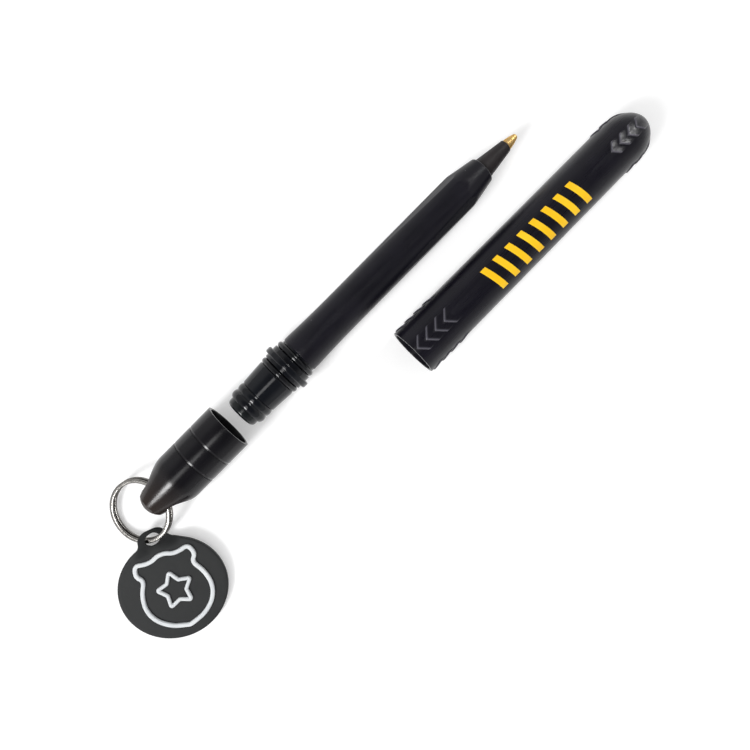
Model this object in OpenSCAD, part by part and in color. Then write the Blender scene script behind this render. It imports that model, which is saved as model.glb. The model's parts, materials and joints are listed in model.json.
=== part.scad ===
// Pocket pen with a long cap, a bullet-shaped tail cap, a split ring and a moulded tag.
// The pen lies along X and writes towards +X. Z is up and the floor is z = 0.
// The cap lies beside the pen. The tail cap is drawn a little way off the tail, in line with it.

/* [Pen] */
// Length from the end of the tail plug to the writing ball
pen_len = 88.4; // [84:0.1:100]
// Length of the tail spigot, from the tail plug's end to the flange
spigot_len = 14.2; // [13.6:0.1:18]
// Diameter of the spigot beside the two tail beads
spigot_tail_d = 9.24; // [9:0.02:9.6]
// Diameter of the spigot beside its seal ring
spigot_neck_d = 9.92; // [9.6:0.02:10]
// Crest diameter of the two tail beads
bead_d = 9.4; // [9.1:0.02:9.8]
// Length of one tail bead along the pen
bead_pitch = 1.95; // [1.6:0.05:2.1]
// Height of a tail bead above the notch beside it
bead_rise = 0.35; // [0.2:0.01:0.5]
// Diameter of the flange between the two seal rings
flange_d = 12; // [11.6:0.05:14]
// Thickness of the flange
flange_t = 1.55; // [1.2:0.05:2.5]
// Diameter of the collars on both sides of the flange
collar_d = 10.36; // [10.1:0.02:10.38]
// Length of the collar behind the flange
rear_collar_len = 0.8; // [0.5:0.05:1.2]
// Length of the collar ahead of the flange
front_collar_len = 1.1; // [0.5:0.05:1.6]
// Diameter of the tail plug's head
plug_d = 7.8; // [7:0.05:8.6]
// Length of the tail plug's head
plug_head_len = 1.85; // [1.3:0.05:2.2]

/* [Barrel] */
// Diameter of the barrel over most of its length
barrel_d = 8.94; // [8.4:0.02:9.2]
// Diameter of the barrel's flared rear end
barrel_rear_d = 9.48; // [9.3:0.02:9.8]
// Length of the flare
flare_len = 13; // [6:0.5:20]
// Length of the conical nose
nose_len = 6.95; // [5:0.05:9]
// Diameter of the nose's front end
nose_tip_d = 6.3; // [5.8:0.05:7]
// Number of shallow finger flats
flat_count = 6; // [3:1:8]
// Length of the finger flats behind the nose
flat_len = 24; // [10:0.5:36]
// Depth of a finger flat where the nose begins
flat_depth = 0.27; // [0.1:0.01:0.4]
// Bore of the barrel around the ink tube
barrel_bore_d = 3.6; // [3.4:0.05:4.2]

/* [Refill] */
// Diameter of the tip holder where it leaves the barrel
holder_d = 5.06; // [4.6:0.02:5.4]
// Diameter of the tip holder's front end
holder_tip_d = 2.95; // [2.8:0.02:3.2]
// Length of the part of the tip holder that shows
holder_len = 7.6; // [6:0.1:9]
// Diameter of the brass point's rim
point_d = 2.5; // [2.2:0.02:2.7]
// Length of the point that shows, with its ball
point_len = 3.4; // [3:0.05:4]
// Diameter of the writing ball
ball_d = 1; // [0.7:0.05:1.2]
// Outer diameter of the ink tube
tube_d = 3; // [2.6:0.05:3.2]
// Bore of the ink tube
tube_bore_d = 1.8; // [1.6:0.05:2]
// Air left behind the ink
air_len = 14; // [4:0.5:30]

/* [Fits] */
// Outer diameter of the two rubber seal rings
seal_d = 10.4; // [10.38:0.01:10.6]
// Thickness of a seal ring's cord
seal_cord_d = 1.5; // [1.2:0.05:1.6]
// Radial clearance between a seal ring and either cap
fit_clear = 0.06; // [0.03:0.01:0.1]
// Gap left between a seated cap and the flange
seat_gap = 0.05; // [0.03:0.01:0.2]
// Radial clearance between pieces that are pressed together
press_clear = 0.02; // [0.01:0.01:0.04]

/* [Cap] */
// Diameter of the cap at its mouth
cap_mouth_d = 11.94; // [11.8:0.02:13]
// Diameter of the cap where its dome begins
cap_dome_d = 11.24; // [11.1:0.02:12]
// Length of the dome
cap_dome_len = 7.65; // [6:0.05:10]
// Wall at the end of the dome
cap_end_wall = 0.7; // [0.5:0.05:1.5]
// Clearance between the writing ball and the closed dome
tip_clear = 0.3; // [0.2:0.05:1]
// Depth of the mouth land that grips the seal rings
cap_land_len = 5; // [4.5:0.1:8]
// Diameter of the cap's bore behind the land
cap_bore_d = 9.96; // [9.9:0.02:10.1]
// Number of chevrons in each of the four rows at the mouth
mouth_chevrons = 4; // [2:1:5]
// Distance between chevrons at the mouth and in the side rows
mouth_pitch = 2.76; // [2:0.02:3]
// Number of chevrons in the upper and lower rows at the dome
dome_chevrons = 4; // [2:1:4]
// Distance between chevrons in the upper and lower rows at the dome
dome_pitch = 1.46; // [1.2:0.02:1.5]
// Distance from the first chevron of the upper row to the end of the dome
dome_first = 8.4; // [8.2:0.1:12]
// Number of chevrons in the side rows at the dome
side_chevrons = 3; // [1:1:3]
// Distance from the first chevron of a side row to the end of the dome
side_first = 11.3; // [10:0.1:14]
// Half of a chevron's spread around the cap
chevron_spread = 2.25; // [1.5:0.05:2.3]
// Width of a chevron's arm
chevron_w = 0.6; // [0.4:0.02:0.7]
// Height of the chevrons above the cap
chevron_rise = 0.24; // [0.15:0.01:0.35]

/* [Tail cap] */
// Diameter of the tail cap
tail_cap_d = 12; // [11.8:0.02:13]
// Length of the tail cap's straight part
tail_cap_straight = 15.5; // [15.2:0.1:20]
// Length from the mouth to the edge of its blunt end
tail_cap_edge = 24.9; // [24:0.1:32]
// Height of the bulge of its blunt end
tail_cap_bulge = 1.4; // [0.8:0.05:2]
// Diameter of its blunt end
tail_cap_end_d = 6.4; // [6:0.05:7.5]
// Radius that blends the straight part into the taper
taper_blend_r = 7; // [3:0.5:12]
// Depth left beyond the seated tail plug
socket_spare = 0.3; // [0.2:0.05:0.6]
// Distance from the mouth to the first ring groove
groove_start = 5.8; // [3:0.1:7]
// Distance between the two ring grooves
groove_pitch = 5; // [3:0.1:7]
// Width of a ring groove
groove_w = 0.45; // [0.3:0.01:0.7]
// Depth of a ring groove
groove_depth = 0.22; // [0.1:0.01:0.3]
// Distance from the mouth to the eye for the ring
eye_pos = 21.8; // [21:0.1:26]
// Diameter of the eye
eye_d = 3.9; // [3.7:0.05:4.2]
// Size of the chamfer round the eye's ends
eye_chamfer = 0.6; // [0.5:0.05:0.7]

/* [Split ring] */
// Outer diameter of the ring
ring_d = 16; // [15:0.1:18]
// Width of its flat wire
ring_band = 1.4; // [1:0.05:1.6]
// Thickness of one turn
turn_t = 0.62; // [0.5:0.01:0.7]
// Gap between the two turns
turn_gap = 0.1; // [0.05:0.01:0.15]
// Angle that the wire takes to cross from one turn to the other
crossover = 40; // [25:1:60]
// Place of the crossover round the ring
crossover_at = 128; // [100:1:160]
// Play of the ring's wire from the middle of the eye
eye_play = 0.5; // [0.3:0.05:0.6]

/* [Tag] */
// Width of the oval tag
tag_w = 25.6; // [23:0.1:30]
// Height of the oval tag
tag_h = 23.6; // [22:0.1:28]
// Thickness of the tag
tag_t = 1.5; // [1.2:0.05:2]
// Distance from the middle of the hole to the edge of the oval
hole_reach = 0.25; // [0.2:0.05:1.5]
// Diameter of the hole for the ring
tag_hole_d = 2.9; // [2.7:0.05:3.2]
// Shift of the hole towards the middle of the ring
hole_shift = 0.15; // [0:0.01:0.25]
// Radius of the lug's round ends
lug_r = 2.5; // [2.2:0.05:3]
// Half the distance between the lug's two round ends
lug_half_span = 0.9; // [0.5:0.05:1.5]
// Thickness of the lug
lug_t = 1; // [0.8:0.05:1.2]
// Twist of the soft lug where the ring lifts it
lug_twist = 20; // [15:1:25]
// Width of the shield's raised line
shield_line_w = 1; // [0.7:0.05:1.3]
// Width of the star's raised line
star_line_w = 0.85; // [0.6:0.05:1]
// Height of the raised lines
line_rise = 0.6; // [0.3:0.05:1]
// Radius of the star's five points
star_r = 4.3; // [3:0.1:4.5]
// Radius of the star's five inner corners
star_waist = 2.4; // [1.6:0.1:2.8]
// Half of the shield's width
shield_half_w = 8.1; // [7:0.1:8.4]
// Height of the shield's top and depth of its point from the star's middle
shield_half_h = 8.8; // [8:0.05:9]
// Distance of the star's middle below the tag's middle
emblem_drop = 0.5; // [0.4:0.1:1.4]
// Distance from the oval's middle line to the middle line of the emblem
emblem_aside = 0.6; // [0:0.1:0.9]

/* [Layout] */
// Gap between the tail plug and the tail cap's mouth
tail_cap_gap = 3.7; // [1:0.1:12]
// Distance between the axes of the pen and the cap
cap_side = 17.85; // [13:0.05:30]
// Place of the cap's mouth ahead of the tail plug's end
cap_ahead = 37.2; // [0:0.1:80]
// Turn of the ring in the eye, seen from above
ring_yaw = 8; // [0:0.1:8.5]
// Place of the tag's hole round the ring, from its lowest point
lug_angle = 71; // [66:0.1:76]
// Turn of the tag about its hole, from square to the ring's wire
tag_turn = 5; // [0:0.1:6]

/* [Hidden] */
$fn = 96;

// Radii shared by mating pieces
fit_bore_r = seal_d / 2 + fit_clear;
seal_mid_r = seal_d / 2 - seal_cord_d / 2;
seat_floor_r = seal_d / 2 - seal_cord_d - press_clear;
seat_w = seal_cord_d + 4 * press_clear;
plug_shank_r = 2.6;
plug_shank_len = 2.6;
joint_r = 3.2;
joint_len = 6;
tube_hole_r = tube_d / 2 + 0.25;

// Stations along the pen, from the end of the tail plug
flange_front = spigot_len + flange_t;
rear_seat = spigot_len - rear_collar_len - seat_w;
front_seat = flange_front + front_collar_len;
barrel_rear = front_seat + seat_w + 0.5;
joint_front = barrel_rear + joint_len;
barrel_front = pen_len - point_len - holder_len;
nose_rear = barrel_front - nose_len;
holder_front = pen_len - point_len;
holder_shank_len = 8;
holder_rear = barrel_front - holder_shank_len;
holder_shank_r = 2.1;
spigot_start = plug_head_len + 2 * bead_pitch;
tube_rear = plug_head_len + plug_shank_len + 1.5;
barb_len = 5;
point_shank_r = 0.8;
point_shank_len = 4;
ink_channel_r = 0.3;
ball_proud = 0.3 * ball_d;
edge_r = 0.45;

// The cap closes with its mouth against the flange and clears the writing ball
cap_depth = pen_len - flange_front - seat_gap + tip_clear;
cap_len = cap_depth + cap_end_wall;

// The tail cap seats on the spigot against the flange
socket_len = spigot_len - seat_gap + socket_spare;
taper_angle = atan2((tail_cap_d - tail_cap_end_d) / 2, tail_cap_edge - tail_cap_straight - 1.1);

// Heights of the axes of what lies on the floor
axis_z = max(flange_d, tail_cap_d) / 2;
cap_axis_z = cap_mouth_d / 2 + chevron_rise;

// The ring slopes from the eye down to the floor
ring_mid_r = (ring_d - ring_band) / 2;
ring_h = 2 * turn_t + turn_gap;
ring_arm = ring_mid_r - eye_play;
ring_reach = sqrt(pow(ring_arm + ring_d / 2, 2) + pow(ring_h / 2, 2));
ring_slope = asin(axis_z / ring_reach) - atan2(ring_h / 2, ring_arm + ring_d / 2);
eye_x = -tail_cap_gap - eye_pos;
ring_x = eye_x - ring_arm * cos(ring_slope);
ring_z = axis_z - ring_arm * sin(ring_slope);

// The tag hangs on the ring by its lug and lies on the floor by its far edge
lug_x = ring_x - ring_mid_r * cos(lug_angle) * cos(ring_slope);
lug_y = -ring_mid_r * sin(lug_angle);
lug_z = ring_z - ring_mid_r * cos(lug_angle) * sin(ring_slope);
wire_fall = asin(sin(lug_angle) * sin(ring_slope));
tag_yaw = tag_turn - atan2(cos(lug_angle), sin(lug_angle) * cos(ring_slope));
tag_mid = tag_h / 2 + hole_reach;
tag_pitch = asin((lug_z - tag_t / 2) / (tag_mid + tag_h / 2));
tag_x = lug_x + tag_mid * sin(tag_yaw);
tag_y = lug_y - tag_mid * cos(tag_yaw);

// Where the turn of the ring in the eye takes the tag's middle and the ring's far side
tag_out_x = eye_x + (tag_x - eye_x) * cos(ring_yaw) + tag_y * sin(ring_yaw);
tag_out_y = (eye_x - tag_x) * sin(ring_yaw) + tag_y * cos(ring_yaw);
ring_lean = sin(ring_slope) * sin(ring_yaw);
ring_far_y = (eye_x - ring_x) * sin(ring_yaw)
    + ring_d / 2 * sqrt(1 - ring_lean * ring_lean) + ring_h / 2 * ring_lean;

// Middle of the whole layout, which the part's origin stands under
tag_facing = tag_yaw - ring_yaw;
tag_half_x = norm([tag_w / 2 * cos(tag_facing), tag_h / 2 * sin(tag_facing)]);
tag_half_y = norm([tag_w / 2 * sin(tag_facing), tag_h / 2 * cos(tag_facing)]);
mid_x = (tag_out_x - tag_half_x + cap_ahead + cap_len) / 2;
mid_y = (tag_out_y - tag_half_y + ring_far_y) / 2;

// Points on an arc in the plane of an outline, from angle a to angle b
function arc(mid, r, a, b, steps = 8) =
    [for (i = [0:steps]) mid + r * [cos(a + (b - a) * i / steps), sin(a + (b - a) * i / steps)]];

// Points on a quarter of an ellipse that closes on the axis
function dome(r, start, len, steps = 20) =
    [for (i = [0:steps]) [r * cos(90 * i / steps), start + len * sin(90 * i / steps)]];

// Points over one rounded bead whose notches lie bead_rise below its crest
function bead(start, steps = 10) =
    let (r = (pow(bead_pitch / 2, 2) + pow(bead_rise, 2)) / 2 / bead_rise)
    [for (i = [0:steps])
        let (u = bead_pitch * (i / steps - 0.5))
        [bead_d / 2 - r + sqrt(r * r - u * u), start + bead_pitch / 2 + u]];

// Points on a curve bent by one control point, without its last point
function bend(a, b, c, steps = 8) =
    [for (i = [0:steps - 1])
        let (t = i / steps)
        (1 - t) * (1 - t) * a + 2 * t * (1 - t) * b + t * t * c];

// Puts a piece that is drawn about the tail plug's end into the part's own frame
module in_row() {
    translate([-mid_x, -mid_y, 0]) children();
}

// Puts a piece that is drawn about the pen's axis at the pen's height
module on_pen() {
    in_row() translate([0, 0, axis_z]) children();
}

// Turns an outline of [radius, station] points about the X axis
module turned(outline) {
    rotate([0, 90, 0]) rotate_extrude() polygon(outline);
}

// A round hole or peg along X
module round_bar(r, start, len) {
    translate([start, 0, 0]) rotate([0, 90, 0]) cylinder(r = r, h = len);
}

// Hexagonally arranged finger flats, each a plane that sinks towards the nose
module finger_flats() {
    tilt = atan2(flat_depth, flat_len);
    for (i = [0:flat_count - 1]) {
        rotate([360 / flat_count * i, 0, 0])
            translate([nose_rear - flat_len, -barrel_d / 2, barrel_d / 2])
                rotate([0, tilt, 0])
                    cube([flat_len + 2 * nose_len, barrel_d, barrel_d]);
    }
}

module barrel() {
    rear_r = barrel_rear_d / 2;
    main_r = barrel_d / 2;
    outline = concat(
        [[0, barrel_rear], [rear_r - 0.15, barrel_rear], [rear_r, barrel_rear + 0.15]],
        [for (i = [1:8]) [main_r + (rear_r - main_r) * pow(1 - i / 8, 2), barrel_rear + 1.6 + flare_len * i / 8]],
        [[main_r - 0.05, nose_rear - 0.5], [main_r - 0.12, nose_rear + 0.3]],
        [[nose_tip_d / 2 + 0.08, barrel_front - 0.3], [nose_tip_d / 2 - 0.2, barrel_front], [0, barrel_front]]);
    color([0.08, 0.08, 0.1])
        on_pen()
            difference() {
                turned(outline);
                finger_flats();
                round_bar(joint_r + press_clear, barrel_rear - 1, joint_len + 1 + press_clear);
                round_bar(barrel_bore_d / 2, barrel_rear, barrel_front - barrel_rear);
                round_bar(holder_shank_r + press_clear, holder_rear, holder_shank_len + 1);
            }
}

// Hollow tail piece with the beads, the spigot, the two seal seats and the flange
module tail_connector() {
    flange_r = flange_d / 2;
    outline = concat(
        [[plug_shank_r + press_clear, plug_head_len]],
        bead(plug_head_len),
        bead(plug_head_len + bead_pitch),
        [[spigot_tail_d / 2, spigot_start + 0.2], [spigot_neck_d / 2, rear_seat - 0.35]],
        [[spigot_neck_d / 2 - 0.1, rear_seat], [seat_floor_r, rear_seat], [seat_floor_r, rear_seat + seat_w]],
        [[collar_d / 2 - 0.1, rear_seat + seat_w], [collar_d / 2, rear_seat + seat_w + 0.2]],
        [[collar_d / 2, spigot_len]],
        arc([flange_r - edge_r, spigot_len + edge_r], edge_r, -90, 0, 6),
        arc([flange_r - edge_r, flange_front - edge_r], edge_r, 0, 90, 6),
        [[collar_d / 2, flange_front], [collar_d / 2, front_seat - 0.2]],
        [[collar_d / 2 - 0.1, front_seat], [seat_floor_r, front_seat], [seat_floor_r, front_seat + seat_w]],
        [[barrel_rear_d / 2 - 0.15, front_seat + seat_w], [barrel_rear_d / 2 - 0.15, barrel_rear]],
        [[joint_r, barrel_rear], [joint_r, joint_front], [tube_hole_r, joint_front]],
        [[tube_hole_r, plug_head_len + plug_shank_len + 0.4]],
        [[plug_shank_r + press_clear, plug_head_len + plug_shank_len + 0.4]]);
    color([0.1, 0.11, 0.12]) on_pen() turned(outline);
}

// Rounded plug that closes the tail
module tail_plug() {
    round_r = 1.1;
    outline = concat(
        [[0, 0]],
        arc([plug_d / 2 - round_r, round_r], round_r, -90, 0),
        [[plug_d / 2, plug_head_len], [plug_shank_r, plug_head_len]],
        [[plug_shank_r, plug_head_len + plug_shank_len], [0, plug_head_len + plug_shank_len]]);
    color([0.12, 0.13, 0.14]) on_pen() turned(outline);
}

// Rubber ring that fills one seat of the connector
module seal_ring(seat) {
    color([0.06, 0.06, 0.07])
        on_pen()
            translate([seat + seat_w / 2, 0, 0])
                rotate([0, 90, 0])
                    rotate_extrude()
                        translate([seal_mid_r, 0])
                            circle(d = seal_cord_d);
}

module rear_seal_ring() {
    seal_ring(rear_seat);
}

module front_seal_ring() {
    seal_ring(front_seat);
}

// Cone that holds the brass point, with a shank in the barrel and a barb in the ink tube
module refill_tip_holder() {
    barb_r = tube_bore_d / 2 - press_clear;
    outline = [
        [ink_channel_r, holder_rear - barb_len],
        [barb_r, holder_rear - barb_len],
        [barb_r, holder_rear],
        [holder_shank_r, holder_rear],
        [holder_shank_r, barrel_front],
        [holder_d / 2, barrel_front],
        [holder_d / 2, barrel_front + 0.4],
        [holder_tip_d / 2, holder_front - 0.12],
        [holder_tip_d / 2 - 0.1, holder_front],
        [point_shank_r + press_clear, holder_front],
        [point_shank_r + press_clear, holder_front - point_shank_len - press_clear],
        [ink_channel_r, holder_front - point_shank_len - press_clear]];
    color([0.11, 0.09, 0.09]) on_pen() turned(outline);
}

// Turned point with the socket that holds the writing ball
module brass_point() {
    rim_len = 0.3;
    lip = pen_len - ball_proud;
    lip_r = ball_d / 2 + 0.07;
    socket_r = ball_d / 2 + press_clear;
    socket_from = asin((ball_d / 2 - ball_proud) / socket_r);
    socket_to = -acos(ink_channel_r / socket_r);
    outline = concat(
        [[ink_channel_r, holder_front - point_shank_len], [point_shank_r, holder_front - point_shank_len]],
        [[point_shank_r, holder_front], [point_d / 2, holder_front], [point_d / 2, holder_front + rim_len]],
        [[point_d / 2 - 0.08, holder_front + rim_len + 0.06], [lip_r + 0.1, lip - 0.35], [lip_r, lip]],
        arc([0, pen_len - ball_d / 2], socket_r, socket_from, socket_to, 12));
    color([0.84, 0.63, 0.28]) on_pen() turned(outline);
}

module writing_ball() {
    color([0.6, 0.6, 0.62]) on_pen() translate([pen_len - ball_d / 2, 0, 0]) sphere(d = ball_d);
}

module ink_tube() {
    color([0.75, 0.77, 0.8])
        on_pen()
            difference() {
                round_bar(tube_d / 2, tube_rear, holder_rear - tube_rear);
                round_bar(tube_bore_d / 2, tube_rear - 1, holder_rear - tube_rear + 2);
            }
}

module ink_column() {
    ink_rear = tube_rear + air_len;
    color([0.03, 0.03, 0.05])
        on_pen()
            round_bar(tube_bore_d / 2 - press_clear, ink_rear, holder_rear - barb_len - ink_rear);
}

// One raised arrowhead that points to the mouth, as a prism that starts inside the cap
module chevron_prism(apex, spread) {
    thick = chevron_w * sqrt(2);
    arrow = [[0, 0], [spread, spread], [spread + thick, spread], [thick, 0],
        [spread + thick, -spread], [spread, -spread]];
    translate([apex, 0, cap_dome_d / 6]) linear_extrude(cap_mouth_d) polygon(arrow);
}

// Arrowheads in rows at both ends, cut to one height above the cap's tapered surface
module chevrons() {
    jacket = concat(
        [[0, 0.15], [cap_mouth_d / 2 + chevron_rise, 0.15]],
        dome(cap_dome_d / 2 + chevron_rise, cap_len - cap_dome_len, cap_dome_len + chevron_rise));
    intersection() {
        turned(jacket);
        for (turn = [0:90:270]) {
            side = turn % 180 != 0;
            count = side ? side_chevrons : dome_chevrons;
            pitch = side ? mouth_pitch : dome_pitch;
            first = cap_len - (side ? side_first : dome_first);
            rotate([turn, 0, 0]) {
                for (i = [0:mouth_chevrons - 1]) {
                    chevron_prism(0.5 + i * mouth_pitch, chevron_spread);
                }
                for (i = [0:count - 1]) {
                    chevron_prism(first + i * pitch, 0.82 * chevron_spread);
                }
            }
        }
    }
}

// Hollow of the cap, with a land that grips the seal rings and a bore that follows the dome
module cap_hollow() {
    dome_start = cap_len - cap_dome_len;
    turned(concat(
        [[0, -1], [fit_bore_r + 0.15, -1], [fit_bore_r + 0.15, 0], [fit_bore_r, 0.15]],
        [[fit_bore_r, cap_land_len], [cap_bore_d / 2, cap_land_len + 0.3]],
        dome(cap_bore_d / 2, dome_start, cap_dome_len - cap_end_wall)));
}

// Long tapered shell with an elliptical dome
module cap_shell() {
    outer = concat(
        [[0, 0], [cap_mouth_d / 2 - 0.15, 0], [cap_mouth_d / 2, 0.15]],
        dome(cap_dome_d / 2, cap_len - cap_dome_len, cap_dome_len));
    color([0.07, 0.07, 0.09])
        in_row()
            translate([cap_ahead, -cap_side, cap_axis_z])
                difference() {
                    union() {
                        turned(outer);
                        chevrons();
                    }
                    cap_hollow();
                }
}

// Bullet-shaped cap for the tail, drawn from its mouth towards its blunt end
module tail_cap_shell() {
    r = tail_cap_d / 2;
    end_r = tail_cap_end_d / 2;
    bulge_r = (end_r * end_r + tail_cap_bulge * tail_cap_bulge) / 2 / tail_cap_bulge;
    bulge_half = asin(end_r / bulge_r);
    tip = tail_cap_edge + tail_cap_bulge;
    outline = concat(
        [[0, 0], [r - 0.15, 0], [r, 0.15]],
        arc([r - taper_blend_r, tail_cap_straight], taper_blend_r, 0, taper_angle),
        [[end_r + 0.12, tail_cap_edge - 0.3]],
        [for (p = arc([0, tip - bulge_r], bulge_r, 90 - bulge_half, 90, 10)) p]);
    color([0.08, 0.07, 0.08])
        on_pen()
            translate([-tail_cap_gap, 0, 0])
                mirror([1, 0, 0])
                    difference() {
                        turned(outline);
                        round_bar(fit_bore_r, -1, socket_len + 1);
                        turned([[0, -0.01], [fit_bore_r + 0.2, -0.01], [fit_bore_r, 0.2], [0, 0.2]]);
                        for (i = [0:1]) {
                            turned([[r - groove_depth, groove_start + i * groove_pitch],
                                [r + 1, groove_start + i * groove_pitch - groove_w / 2],
                                [r + 1, groove_start + i * groove_pitch + groove_w + groove_w / 2],
                                [r - groove_depth, groove_start + i * groove_pitch + groove_w]]);
                        }
                        translate([eye_pos, 0, 0]) eye();
                    }
}

// Cross hole for the ring, with a chamfer at each end
module eye() {
    side = tail_cap_end_d / 2 + 0.6;
    rotate([90, 0, 0]) cylinder(d = eye_d, h = tail_cap_d, center = true);
    for (turn = [-90, 90]) {
        rotate([turn, 0, 0])
            translate([0, 0, side - eye_chamfer])
                cylinder(d1 = eye_d, d2 = eye_d + 4 * eye_chamfer, h = 2 * eye_chamfer);
    }
}

// Space beside the stretch that carries the wire from the lower turn to the upper one
module crossover_space() {
    run = 2 * ring_mid_r * sin(crossover / 2);
    above = [[-run / 2, -turn_gap / 2], [run / 2, ring_h / 2], [run / 2, ring_h], [-run / 2, ring_h]];
    translate([ring_d / 2 - 3 * ring_band, 0, 0])
        rotate([90, 0, 90])
            linear_extrude(4 * ring_band) {
                polygon(above);
                polygon(-above);
            }
}

// Thin space between the two turns, closed where the wire crosses over
module turn_space() {
    run = 2 * ring_mid_r * sin(crossover / 2);
    difference() {
        cylinder(d = ring_d + 2, h = turn_gap, center = true);
        translate([0, -run / 2, -ring_h]) cube([ring_d, run, 2 * ring_h]);
    }
}

// Turns what hangs in the eye about the eye's middle, seen from above
module in_eye() {
    in_row()
        translate([eye_x, 0, 0])
            rotate([0, 0, -ring_yaw])
                translate([-eye_x, 0, 0])
                    children();
}

// Two flat turns of wire that are cut from one band
module split_ring() {
    color([0.76, 0.76, 0.74])
        in_eye()
            translate([ring_x, 0, ring_z])
                rotate([0, -ring_slope, 0])
                    rotate([0, 0, crossover_at])
                        difference() {
                            cylinder(d = ring_d, h = ring_h, center = true);
                            cylinder(d = ring_d - 2 * ring_band, h = 2 * ring_h, center = true);
                            turn_space();
                            crossover_space();
                        }
}

// Puts a piece of the tag, drawn about its hole with the oval towards -Y, where the tag lies
module on_tag() {
    in_eye()
        translate([lug_x, lug_y, lug_z])
            rotate([0, 0, tag_yaw])
                rotate([tag_pitch, 0, 0])
                    children();
}

// Oval tag with a twisted lug and a hole that follows the ring's wire
module tag_disc() {
    oval = [for (i = [0:71]) [tag_w / 2 * cos(5 * i), tag_h / 2 * sin(5 * i) - tag_mid]];
    color([0.22, 0.22, 0.22])
        on_tag()
            difference() {
                union() {
                    linear_extrude(tag_t, center = true) polygon(oval);
                    rotate([0, lug_twist, 0])
                        linear_extrude(lug_t, center = true) {
                            translate([-lug_half_span, 0]) circle(lug_r);
                            translate([lug_half_span, 0]) circle(lug_r);
                            translate([-lug_half_span, -lug_r]) square([2 * lug_half_span, 2 * lug_r]);
                        }
                }
                translate([0, hole_shift, 0])
                    rotate([0, 0, -tag_turn])
                        rotate([0, 90 - wire_fall, 0])
                            cylinder(d = tag_hole_d, h = 5 * lug_r, center = true);
            }
}

// Half of the badge shield, from the middle of its top edge to its lowest point
function shield_side() =
    let (
        w = shield_half_w,
        h = shield_half_h,
        top = [0, h],
        scallop = [0.22 * w, 0.955 * h],
        horn = [0.69 * w, 0.95 * h],
        shoulder = [0.86 * w, 0.83 * h],
        armpit = [0.82 * w, 0.61 * h],
        waist = [0.81 * w, 0.4 * h],
        flank = [w, -0.13 * h],
        hip = [0.82 * w, -0.605 * h],
        foot = [0.39 * w, -0.895 * h])
    concat(
        bend(top, [0.13 * w, h], scallop),
        bend(scallop, [0.4 * w, 0.88 * h], horn),
        bend(horn, [0.82 * w, 0.97 * h], shoulder),
        bend(shoulder, [0.91 * w, 0.69 * h], armpit),
        bend(armpit, [0.74 * w, 0.53 * h], waist),
        bend(waist, [0.98 * w, 0.16 * h], flank),
        bend(flank, [w, -0.4 * h], hip),
        bend(hip, [0.65 * w, -0.79 * h], foot),
        bend(foot, [0.18 * w, -0.96 * h], [0, -h]));

// Places an outline on top of the tag, about the middle of its emblem
module on_emblem() {
    on_tag()
        translate([emblem_aside, -tag_mid - emblem_drop, tag_t / 2])
            linear_extrude(line_rise)
                children();
}

module tag_shield_line() {
    right = shield_side();
    left = [for (i = [1:len(right) - 1]) let (p = right[len(right) - i]) [-p[0], p[1]]];
    outline = concat(right, [[0, -shield_half_h]], left);
    color([0.88, 0.9, 0.9])
        on_emblem()
            difference() {
                offset(r = shield_line_w / 2, $fn = 24) polygon(outline);
                offset(delta = -shield_line_w / 2) polygon(outline);
            }
}

module tag_star_line() {
    points = [for (i = [0:9]) (i % 2 == 0 ? star_r : star_waist) * [sin(36 * i), cos(36 * i)]];
    color([0.88, 0.9, 0.9])
        on_emblem()
            difference() {
                offset(r = star_line_w / 2, $fn = 24) polygon(points);
                offset(delta = -star_line_w / 2) polygon(points);
            }
}

barrel();
tail_connector();
tail_plug();
rear_seal_ring();
front_seal_ring();
refill_tip_holder();
brass_point();
writing_ball();
ink_tube();
ink_column();
cap_shell();
tail_cap_shell();
split_ring();
tag_disc();
tag_shield_line();
tag_star_line();
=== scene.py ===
"""Looks of a pocket pen with its cap, tail cap, split ring and tag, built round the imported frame."""

import json
import logging
import math
from abc import ABC, abstractmethod
from dataclasses import dataclass
from enum import Enum
from functools import cache
from typing import Callable, Optional, Sequence, Union

import bmesh
import bpy
from mathutils import Matrix, Vector
from mathutils.geometry import delaunay_2d_cdt


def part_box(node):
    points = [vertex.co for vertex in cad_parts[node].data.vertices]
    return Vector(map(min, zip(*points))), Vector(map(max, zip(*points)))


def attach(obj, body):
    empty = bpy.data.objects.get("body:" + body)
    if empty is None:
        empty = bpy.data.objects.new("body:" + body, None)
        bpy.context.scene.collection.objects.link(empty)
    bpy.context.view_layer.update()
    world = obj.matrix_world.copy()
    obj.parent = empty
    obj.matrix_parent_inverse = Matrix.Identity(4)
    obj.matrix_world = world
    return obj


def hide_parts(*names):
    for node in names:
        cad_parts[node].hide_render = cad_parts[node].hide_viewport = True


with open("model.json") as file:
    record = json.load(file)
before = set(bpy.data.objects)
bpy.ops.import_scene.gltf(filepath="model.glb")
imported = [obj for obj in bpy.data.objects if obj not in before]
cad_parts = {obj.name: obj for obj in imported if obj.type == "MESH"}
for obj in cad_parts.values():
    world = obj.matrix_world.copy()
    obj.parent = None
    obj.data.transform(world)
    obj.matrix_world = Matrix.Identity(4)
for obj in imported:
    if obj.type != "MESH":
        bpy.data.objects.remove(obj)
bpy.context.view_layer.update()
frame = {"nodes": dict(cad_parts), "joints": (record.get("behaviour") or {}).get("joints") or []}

MM = 0.001
FIT = 0.02  # clearance between pieces that are put together, in millimetres
AXIS_R = 1e-6  # radius below which a point lies on the axis, in millimetres
WELD_M = 2e-7  # distance below which vertices are one, in metres
SLIVER_M = 1e-8  # length below which an edge is dissolved, in metres
SIDE_SHARE = 0.49  # share of a side that one rounded corner may take
FILL_INSIDE = 1  # option of the triangulation: only what the faces enclose
LOG = logging.getLogger("pocket_pen")

Point = tuple[float, float]
Corner = tuple[float, float, float]
Place = tuple[float, float, float]
Colour = tuple[float, float, float]
Trim = Callable[[float, float, float], float]


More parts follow.
